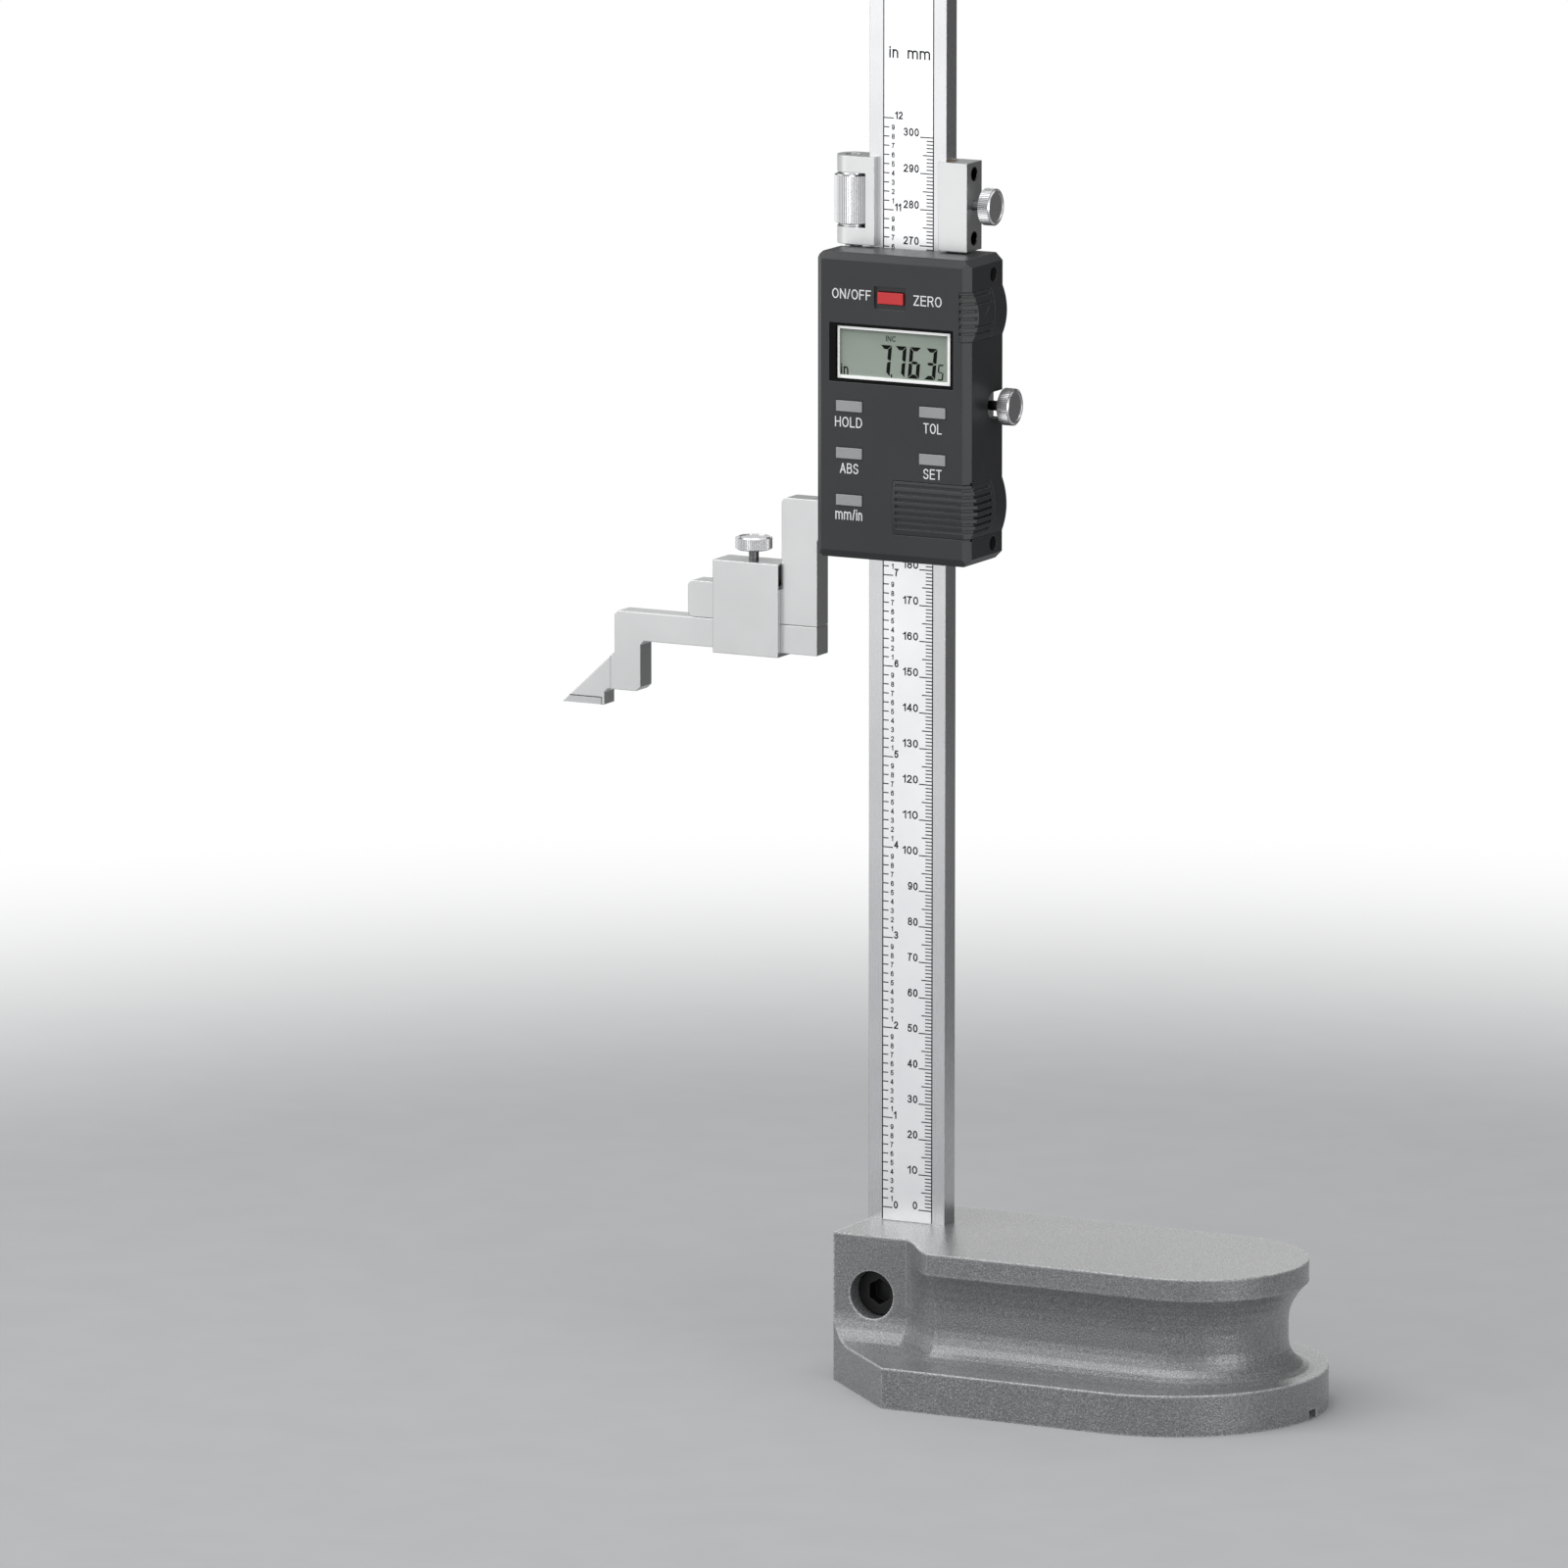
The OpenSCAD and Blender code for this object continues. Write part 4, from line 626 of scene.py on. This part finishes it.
def makeReading():
    front = crystal["front"] - reading["lift"]
    ink = Print(front)
    for text, left in zip(reading["figures"], reading["lefts"]):
        drawFigure(ink, text, left, reading["low"], *reading["size"])
    drawFigure(ink, *reading["small"])
    ink.shape(reading["point"])
    ink.word(*reading["unit"])
    addPiece("reading", ink.mesh("reading"), "slider", "segments")
    small = Print(front)
    small.word(*reading["mode"])
    addPiece("indicators", small.mesh("indicators"), "slider", "faint")


# The graduations, in mm
scale = {
    "zero": 45.5, "left": -7.45, "right": 7.85,  # the height of zero, and the strip's edges
    "front": -3.115, "behind": 0.006,  # the print's front, and how far behind it a line's middle lies
    "line": 0.31, "thick": 0.01,
}
# Each row: how many lines, which of them are longer, and the side on which they run in from the strip's edge
rows = {
    "mm_marks": {"Count": 301, "Pitch": 1.0, "Long Every": 10, "Middle Every": 5,
                 "Long": 4.1, "Middle": 3.25, "Short": 2.1, "Side": -1.0},
    "inch_marks": {"Count": 121, "Pitch": 2.54, "Long Every": 10, "Middle Every": 1,
                   "Long": 3.1, "Middle": 1.75, "Short": 1.75, "Side": 1.0},
}


def markTree():
    tree, take = geometryTree("marks", {
        "Count": "Int", "Pitch": "Float", "Long Every": "Int", "Middle Every": "Int", "Long": "Float",
        "Middle": "Float", "Short": "Float", "Line": "Float", "Thickness": "Float", "Side": "Float",
        "Ink": "Material"})
    index = tree.add("GeometryNodeInputIndex")
    step = tree.add("ShaderNodeCombineXYZ", None, {"Z": take["Pitch"]})
    line = tree.add("GeometryNodeMeshLine", None, {"Count": take["Count"], "Offset": step})
    isLong = (index % take["Long Every"]) < 0.5
    isMiddle = ((index % take["Middle Every"]) < 0.5) - isLong
    longer, medium = take["Long"] - take["Short"], take["Middle"] - take["Short"]
    length = take["Short"] + longer * isLong + medium * isMiddle
    bar = tree.add("GeometryNodeMeshCube", None, {"Size": (1, 1, 1)})
    away = tree.add("ShaderNodeCombineXYZ", None, {"X": take["Side"] * 0.5})
    bar = tree.add("GeometryNodeTransform", None, {"Geometry": bar, "Translation": away})
    size = tree.add("ShaderNodeCombineXYZ", None, {"X": length, "Y": take["Thickness"], "Z": take["Line"]})
    many = tree.add("GeometryNodeInstanceOnPoints", None, {"Points": line, "Instance": bar, "Scale": size})
    return endTree(tree, many, take["Ink"])


def makeMarks():
    group = markTree()
    for name, row in rows.items():
        values = {key: (value * mm if key in ("Pitch", "Long", "Middle", "Short") else value)
                  for key, value in row.items()}
        values.update({"Line": scale["line"] * mm, "Thickness": scale["thick"] * mm, "Ink": materials["ink"]})
        mesh = runTree(group, name, values)
        edge = scale["right"] if row["Side"] < 0 else scale["left"]
        mesh.transform(Matrix.Translation(point(edge, scale["front"] + scale["behind"], scale["zero"])))
        addPiece(name, mesh, "root", "ink")


# The numbers, in mm: each one's low and high end from its mark; the units' names stand above them all
numbers = {
    "mm": {"right": 3.4, "digit": 1.64, "gap": 0.2, "low": 0.12, "high": 2.38, "pen": 0.39},
    "tenths": {"left": -5.0, "right": -4.05, "thinner": 0.22, "low": -0.76, "high": 0.76, "pen": 0.275},
    "inches": {"left": -3.95, "low": -0.22, "high": 1.92, "pen": 0.39},
    "units": {"in": (-5.8, -3.0), "mm": (-0.15, 6.8), "up": 323, "low": -1.58, "high": 1.63, "pen": 0.47},
}


def drawNumber(ink, kind, text, left, right, up):
    spec = numbers[kind]
    z = scale["zero"] + up
    ink.word(text, left, right, z + spec["low"], z + spec["high"], spec["pen"])


def makeNumbers():
    ink = Print(scale["front"])
    metric, inch = rows["mm_marks"], rows["inch_marks"]
    spec = numbers["mm"]
    for value in range(0, metric["Count"], metric["Long Every"]):
        width = spec["digit"] * len(str(value)) - spec["gap"]
        drawNumber(ink, "mm", str(value), spec["right"] - width, spec["right"], value)
    spec = numbers["tenths"]
    for mark in range(inch["Count"]):
        whole, tenth = divmod(mark, inch["Long Every"])
        up = mark * inch["Pitch"]
        if tenth:
            thinner = spec["thinner"] if tenth == 1 else 0
            drawNumber(ink, "tenths", str(tenth), spec["left"] + thinner, spec["right"] - thinner, up)
        else:
            drawNumber(ink, "inches", str(whole), numbers["inches"]["left"], None, up)
    for text in ("in", "mm"):
        drawNumber(ink, "units", text, *numbers["units"][text], numbers["units"]["up"])
    addPiece("scale_numbers", ink.mesh("scale_numbers"), "root", "ink")


# The dark lines down the strip's edges, in mm
edges = {"front": -3.105, "half": 0.17, "low": 42.1, "high": 449.9}


def makeStripEdges():
    ink = Print(edges["front"])
    for x in (scale["left"], scale["right"]):
        left, right, low, high = x - edges["half"], x + edges["half"], edges["low"], edges["high"]
        ink.shape([(left, low), (right, low), (right, high), (left, high)])
    addPiece("strip_edges", ink.mesh("strip_edges"), "root", "ink")


# The edges of the ground recess on the scriber's blade and of its insert, in mm
seams = {
    # where on Y each one is, and whether it faces back
    "sides": {"blade_seams_front": (0.44, False), "blade_seams_back": (6.46, True)},
    "ways": [[(-94.7, 184.0), (-94.7, 193.1)], [(-107.6, 181.2), (-97.6, 181.2), (-97.6, 179.25)]],
    "pen": 0.26,
}


def makeSeams():
    for name, (y, back) in seams["sides"].items():
        ink = Print(y, back)
        for way in seams["ways"]:
            for a, b in zip(way, way[1:]):
                ink.stroke([a, b], seams["pen"])
        addPiece(name, ink.mesh(name), "scriber_bar", "seam")


# The fine feed's screw and its plain collar, in mm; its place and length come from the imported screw
feedScrew = {"radius": 2.0, "pitch": 0.7, "depth": 0.32, "sides": 24, "ringsPerTurn": 7,
             "collarSides": 32, "collarGap": 0.5}


def threadTree():
    tree, take = geometryTree("thread", {
        "Sides": "Int", "Rings": "Int", "Radius": "Float", "Length": "Float", "Pitch": "Float",
        "Depth": "Float", "Collar Sides": "Int", "Collar Radius": "Float", "Collar Low": "Float",
        "Collar High": "Float", "Metal": "Material"})
    shaft = tree.add("GeometryNodeMeshCylinder", {"fill_type": "NGON"}, {
        "Vertices": take["Sides"], "Side Segments": take["Rings"], "Radius": take["Radius"],
        "Depth": take["Length"]})
    x, y, z = tree.parts(tree.add("GeometryNodeInputPosition"))
    turn = z / take["Pitch"] - tree.calc("ARCTAN2", y, x) * (0.5 / math.pi)
    ridge = abs(tree.calc("FRACT", turn) - 0.5) * 2.0
    narrow = 1.0 - ridge * (take["Depth"] / take["Radius"])
    cut = tree.add("ShaderNodeCombineXYZ", None, {"X": x * narrow, "Y": y * narrow, "Z": z})
    shaft = tree.add("GeometryNodeSetPosition", None, {"Geometry": shaft, "Position": cut})
    collar = tree.add("GeometryNodeMeshCylinder", {"fill_type": "NGON"}, {
        "Vertices": take["Collar Sides"], "Radius": take["Collar Radius"],
        "Depth": take["Collar High"] - take["Collar Low"]})
    lift = tree.add("ShaderNodeCombineXYZ", None, {"Z": (take["Collar Low"] + take["Collar High"]) * 0.5})
    collar = tree.add("GeometryNodeTransform", None, {"Geometry": collar, "Translation": lift})
    joined = tree.add("GeometryNodeJoinGeometry")
    for part in (collar, shaft):
        tree.plug(joined.socket.node.inputs[0], part)
    return endTree(tree, joined, take["Metal"])


def makeFeedScrew():
    low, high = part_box("fine_feed_screw")
    frameTop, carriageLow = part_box("slider_frame")[1].z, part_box("carriage")[0].z
    middle = (low + high) / 2
    length = high.z - low.z
    turns = length / mm / feedScrew["pitch"]
    mesh = runTree(threadTree(), "feed_thread", {
        "Sides": feedScrew["sides"], "Rings": round(turns * feedScrew["ringsPerTurn"]),
        "Radius": feedScrew["radius"] * mm, "Length": length, "Pitch": feedScrew["pitch"] * mm,
        "Depth": feedScrew["depth"] * mm, "Collar Sides": feedScrew["collarSides"],
        "Collar Radius": (high.x - low.x) / 2, "Collar Low": frameTop - middle.z,
        "Collar High": carriageLow - feedScrew["collarGap"] * mm - middle.z,
        "Metal": materials["screw_steel"]})
    mesh.transform(Matrix.Translation(middle))
    screw = addPiece("feed_thread", mesh, "slider", "screw_steel")
    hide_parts("fine_feed_screw")


def makeLamp(name, spec):
    data = bpy.data.lights.new(name, "AREA")
    data.shape, data.size, data.size_y, data.energy = "RECTANGLE", *spec["size"], spec["power"]
    lamp = addObject(name, data)
    lamp.visible_camera = False
    lamp.location = spec["place"]
    lamp.rotation_euler = (Vector(spec["aim"]) - Vector(spec["place"])).to_track_quat("-Z", "Y").to_euler()


# Lamps, in metres and watts
lamps = {
    "overhead": {"place": (-0.3, -0.5, 2.0), "aim": (0, 0, 0.2), "size": (2.0, 2.0), "power": 34},
    "front_left": {"place": (-2.1, -2.4, 0.75), "aim": (0, 0, 0.25), "size": (2.4, 2.0), "power": 18},
    "front_right": {"place": (1.78, -0.91, 0.35), "aim": (0, 0, 0.25), "size": (1.0, 1.0), "power": 12},
}
studio = {"fill": 0.42}  # how much the white world lights the object
# The floor in metres: half its width, and from where to where it fades to white and its reflection does
ground = {"half": 3.0, "near": 0.35, "far": 0.85, "mirrorNear": 0.5, "mirrorFar": 1.6}
# Grey cards that only the object's gloss shows, in 8 flat panels each: bearings in degrees, sizes in metres
cardPanels = 8
cards = {
    "card_low": {"from": -4, "to": 90, "away": 0.42, "low": 0.0, "high": 0.115, "glow": 0.19},
    "card_right": {"from": -4, "to": 90, "away": 0.42, "low": 0.115, "high": 0.62, "glow": 0.122},
    "card_knob": {"from": 95, "to": 190, "away": 0.22, "low": 0.16, "high": 0.215, "glow": 0.1},
    "card_jaw": {"from": 95, "to": 190, "away": 0.22, "low": 0.215, "high": 0.285, "glow": 0.88},
    "card_nut": {"from": 95, "to": 150, "away": 0.22, "low": 0.285, "high": 0.325, "glow": 0.08},
    "card_carriage": {"from": 95, "to": 190, "away": 0.22, "low": 0.325, "high": 0.42, "glow": 0.16},
    "card_chamfer": {"from": 140, "to": 250, "away": 0.1, "low": 0.42, "high": 0.7, "glow": 0.25},
}


def seenBy(tree, *kinds):
    rays = [tree.add("ShaderNodeLightPath", out="Is %s Ray" % kind) for kind in kinds]
    seen = rays[0]
    for ray in rays[1:]:
        seen = tree.calc("MAXIMUM", seen, ray)
    return seen


def makeWorld():
    world = bpy.data.worlds.new("studio")
    bpy.context.scene.world = world
    world.use_nodes = True
    tree = Tree(world.node_tree)
    shade = world.node_tree.nodes["Background"]
    shade.inputs["Color"].default_value = (1, 1, 1, 1)
    seen = seenBy(tree, "Camera", "Glossy", "Transmission")
    tree.plug(shade.inputs["Strength"], seen * (1 - studio["fill"]) + studio["fill"])


def addStage(name, mesh, material):
    mesh.materials.append(material)
    made = addObject(name, mesh)
    return made


# The floor keeps the shadow near the object and fades to white further out
def makeFloor():
    material = materials["floor"]
    tree = Tree(material.node_tree)
    shader, out = material.node_tree.nodes["Principled BSDF"], material.node_tree.nodes["Material Output"]
    away = tree.vector("LENGTH", tree.place(), out="Value")
    fade = tree.ramp(away, ground["near"], ground["far"]) * seenBy(tree, "Camera", "Transmission")
    mirrored = tree.ramp(away, ground["mirrorNear"], ground["mirrorFar"]) * seenBy(tree, "Glossy")
    white = tree.add("ShaderNodeEmission", None, {"Color": (1, 1, 1, 1), "Strength": 1.0})
    blend = tree.add("ShaderNodeMixShader", None, {
        0: fade + mirrored, 1: Wire(tree, shader.outputs[0]), 2: white})
    tree.plug(out.inputs["Surface"], blend)
    h = ground["half"]
    mesh = fromLists("floor", [(-h, -h, 0), (h, -h, 0), (h, h, 0), (-h, h, 0)], [(0, 1, 2, 3)])
    addStage("floor", mesh, material)


def makeCard(name, spec):
    material, _, shader = newMaterial(name)
    shader.inputs["Base Color"].default_value = (0, 0, 0, 1)
    shader.inputs["Specular IOR Level"].default_value = 0
    shader.inputs["Emission Color"].default_value = (1, 1, 1, 1)
    shader.inputs["Emission Strength"].default_value = spec["glow"]
    step = (spec["to"] - spec["from"]) / cardPanels
    turns = [math.radians(spec["from"] + step * i) for i in range(cardPanels + 1)]
    corners = [(spec["away"] * math.cos(a), spec["away"] * math.sin(a), z)
               for a in turns for z in (spec["low"], spec["high"])]
    mesh = fromLists(name, corners, [(2 * i, 2 * i + 1, 2 * i + 3, 2 * i + 2) for i in range(cardPanels)])
    card = addStage(name, mesh, material)
    card.visible_camera = card.visible_diffuse = card.visible_shadow = card.visible_transmission = False


makeCamera()
for name, spec in lamps.items():
    makeLamp(name, spec)
makeWorld()
makeFloor()
for name, spec in cards.items():
    makeCard(name, spec)
print("stage: camera, lamps and floor")
makeLegends()
makeReading()
print("stage: legends and reading")
makeMarks()
makeNumbers()
makeStripEdges()
print("stage: graduations")
makeSeams()
makeFeedScrew()
print("stage: seams and thread")

bpy.context.scene.view_settings.view_transform = "Standard"
